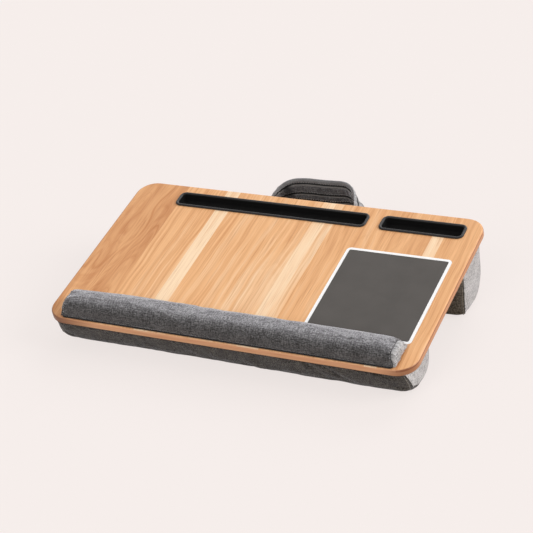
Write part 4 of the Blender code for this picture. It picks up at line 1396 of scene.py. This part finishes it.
def handle_path():
    """The band's centre line and lean: a smooth curve through the keys and their mirror."""
    reach = (HANDLE_WIDTH / 2, HANDLE_DEPTH, HANDLE_GRIP_HEIGHT, np.pi / 2)
    right = np.array(HANDLE_SHARES) * reach
    left = right[-2::-1] * (-1, 1, 1, 1)
    keys = np.concatenate((right, left))
    curve = smooth_through(keys, np.linspace(0, len(keys) - 1, CURVE_STEPS))
    length = run_lengths(curve[:, :3])
    even = np.linspace(0, length[-1], int(length[-1] / BAND_STEP))
    return at_lengths(curve, length, even)


hinge = np.array(frame["joints"][0]["pos_m"])
tab_low, tab_high = (np.array(corner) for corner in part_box("handle_tab_right"))
loop = handle_path()
loop[:, 2] += BEND_RISE * hump(loop[:, 0] - BEND_PLACE, BEND_WIDTH)
loop_places = loop[:, :3] + hinge
# Along the loop, and across it: level at first, then leant up and squared to the loop.
loop_along = unit(np.gradient(loop_places, axis=0))
level = unit(np.stack((-loop_along[:, 1], loop_along[:, 0], 0 * loop_along[:, 0]), axis=1))
lean = loop[:, 3:]
loop_across = level * np.cos(lean) + np.array((0, 0, 1.0)) * np.sin(lean)
loop_across -= loop_along * np.sum(loop_across * loop_along, axis=1, keepdims=True)
loop_across = unit(loop_across)

# Each sewn end runs up the bolster's back and bends over by a quarter circle to the hinge.
tab_line = (tab_low[1] + tab_high[1]) / 2
bend_radius = hinge[1] - HINGE_GAP - tab_line
rise = np.linspace(tab_low[2] + TAB_INSET, hinge[2] - bend_radius, 16)
bend = np.linspace(0, np.pi / 2, 8)[1:]
tab_y = np.concatenate((np.full(len(rise), tab_line), tab_line + bend_radius * (1 - np.cos(bend))))
tab_z = np.concatenate((rise, hinge[2] - bend_radius + bend_radius * np.sin(bend)))
tab_along = np.concatenate(
    (np.tile((0, 0, 1.0), (len(rise), 1)), np.stack((0 * bend, np.sin(bend), np.cos(bend)), axis=1))
)
tab_right = np.stack((np.full(len(tab_y), HANDLE_WIDTH / 2), tab_y, tab_z), axis=1)
keep = loop_places[:, 1] > tab_y[-1] + LOOP_GAP
places = np.concatenate((tab_right, loop_places[keep], tab_right[::-1] * (-1, 1, 1)))
along = np.concatenate((tab_along, loop_along[keep], -tab_along[::-1]))
tab_across = np.tile((-1.0, 0, 0), (len(tab_y), 1))
across = np.concatenate((tab_across, loop_across[keep], -tab_across))
through = np.cross(along, across)
run = run_lengths(places)
from_ends = np.stack((run, run[-1] - run))
middle_share = eased(np.prod(np.clip((from_ends - FLAT_END) / THICKENING, 0, 1), axis=0))
thickness = BAND_END_THICKNESS + (BAND_GRIP_THICKNESS - BAND_END_THICKNESS) * middle_share

# The band's section is pinched at each row of stitches and closes at the band's edges, as the
# root of one less the tenth power of the way across.
face = BAND_WIDTH / 2 * np.sin(np.linspace(-np.pi / 2, np.pi / 2, FACE_STEPS))
row_places = BAND_WIDTH / 2 - np.array(ROW_INSETS)
pinch = hump(face[:, None] - row_places, ROW_WIDTH).sum(axis=1)
edge = np.sqrt(1 - np.clip(np.abs(face) / (BAND_WIDTH / 2), 0, 1) ** 10)
half_section = edge * (1 - ROW_PINCH * pinch) * BAND_FULLNESS / 2


def band_face(side):
    """One face of the band: half its thickness off its centre line, with creases where it turns."""
    creases = BAND_CREASES[0] * ripple(run[:, None] + side * 0.6 * face[None], 0.011, 83 + side)
    creases = creases + BAND_CREASES[1] * ripple(run[:, None] - 0.9 * face[None], 0.031, 87 + side)
    calm = GRIP_CALM + (1 - GRIP_CALM) * hump(np.abs(places[:, 0]) - TURN_PLACE, TURN_WIDTH)
    off = side * thickness[:, None] * half_section[None] + creases * calm[:, None] * edge[None]
    return (
        places[:, None]
        + across[:, None] * face[None, :, None]
        + through[:, None] * off[..., None]
    )


upper, lower = band_face(1), band_face(-1)
flat = np.stack(np.broadcast_arrays(run[:, None], face[None]), axis=-1)
ends = [np.stack((upper[end], lower[end])) for end in (0, -1)]
left_bend = run[np.flatnonzero(places[:, 0] < -LEFT_BEND)[0]]
# Painted light and shade on the band: lighter strips along its upper edge, a painted highlight beside each row of
# stitches, and painted shade in the fold at the left bend and in each row's pinch.
handle_lines = [
    # the cloth's axis, a place along it, half a width, a share and a colour, each laid on the last
    (1, row_places[0] - 0.0030, 0.0045, 0.28, PAINTED_EDGE_LIGHT_COLOR),
    *((1, row - 0.0030, 0.0014, 0.55, PAINTED_HIGHLIGHT_COLOR) for row in row_places),
    (0, 1 + left_bend, 0.0125, 0.96, PAINTED_SHADE_COLOR),
    (1, BAND_WIDTH / 2 - 0.002, 0.0072, 0.46, PAINTED_EDGE_LIGHT_COLOR),
    *((1, row - 0.0011, 0.0017, 0.9, PAINTED_SHADE_COLOR) for row in row_places),
]
handle_linen = linen_finish(
    "handle_linen", LINEN_TONES, (0, *HANDLE_LIT_STRETCH), HANDLE_LIT_TONES, handle_lines
)
handle = surface(
    "handle",
    [(upper, flat), (lower, flat + (1, 0)), *((end, flat[:2] * 0 + 0.5) for end in ends)],
    handle_linen,
)
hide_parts("handle_cover", "handle_padding", "handle_tab_left", "handle_tab_right")

rows = []
for side, grid in ((1, upper), (-1, lower)):
    for row in row_places:
        column = int(np.argmin(np.abs(face - row)))
        rows.append(stitch_row(grid[:, column], side * through, 0.002))
handle_thread = stitches("handle_stitches", rows)
for piece in (handle, handle_thread):
    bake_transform(piece)
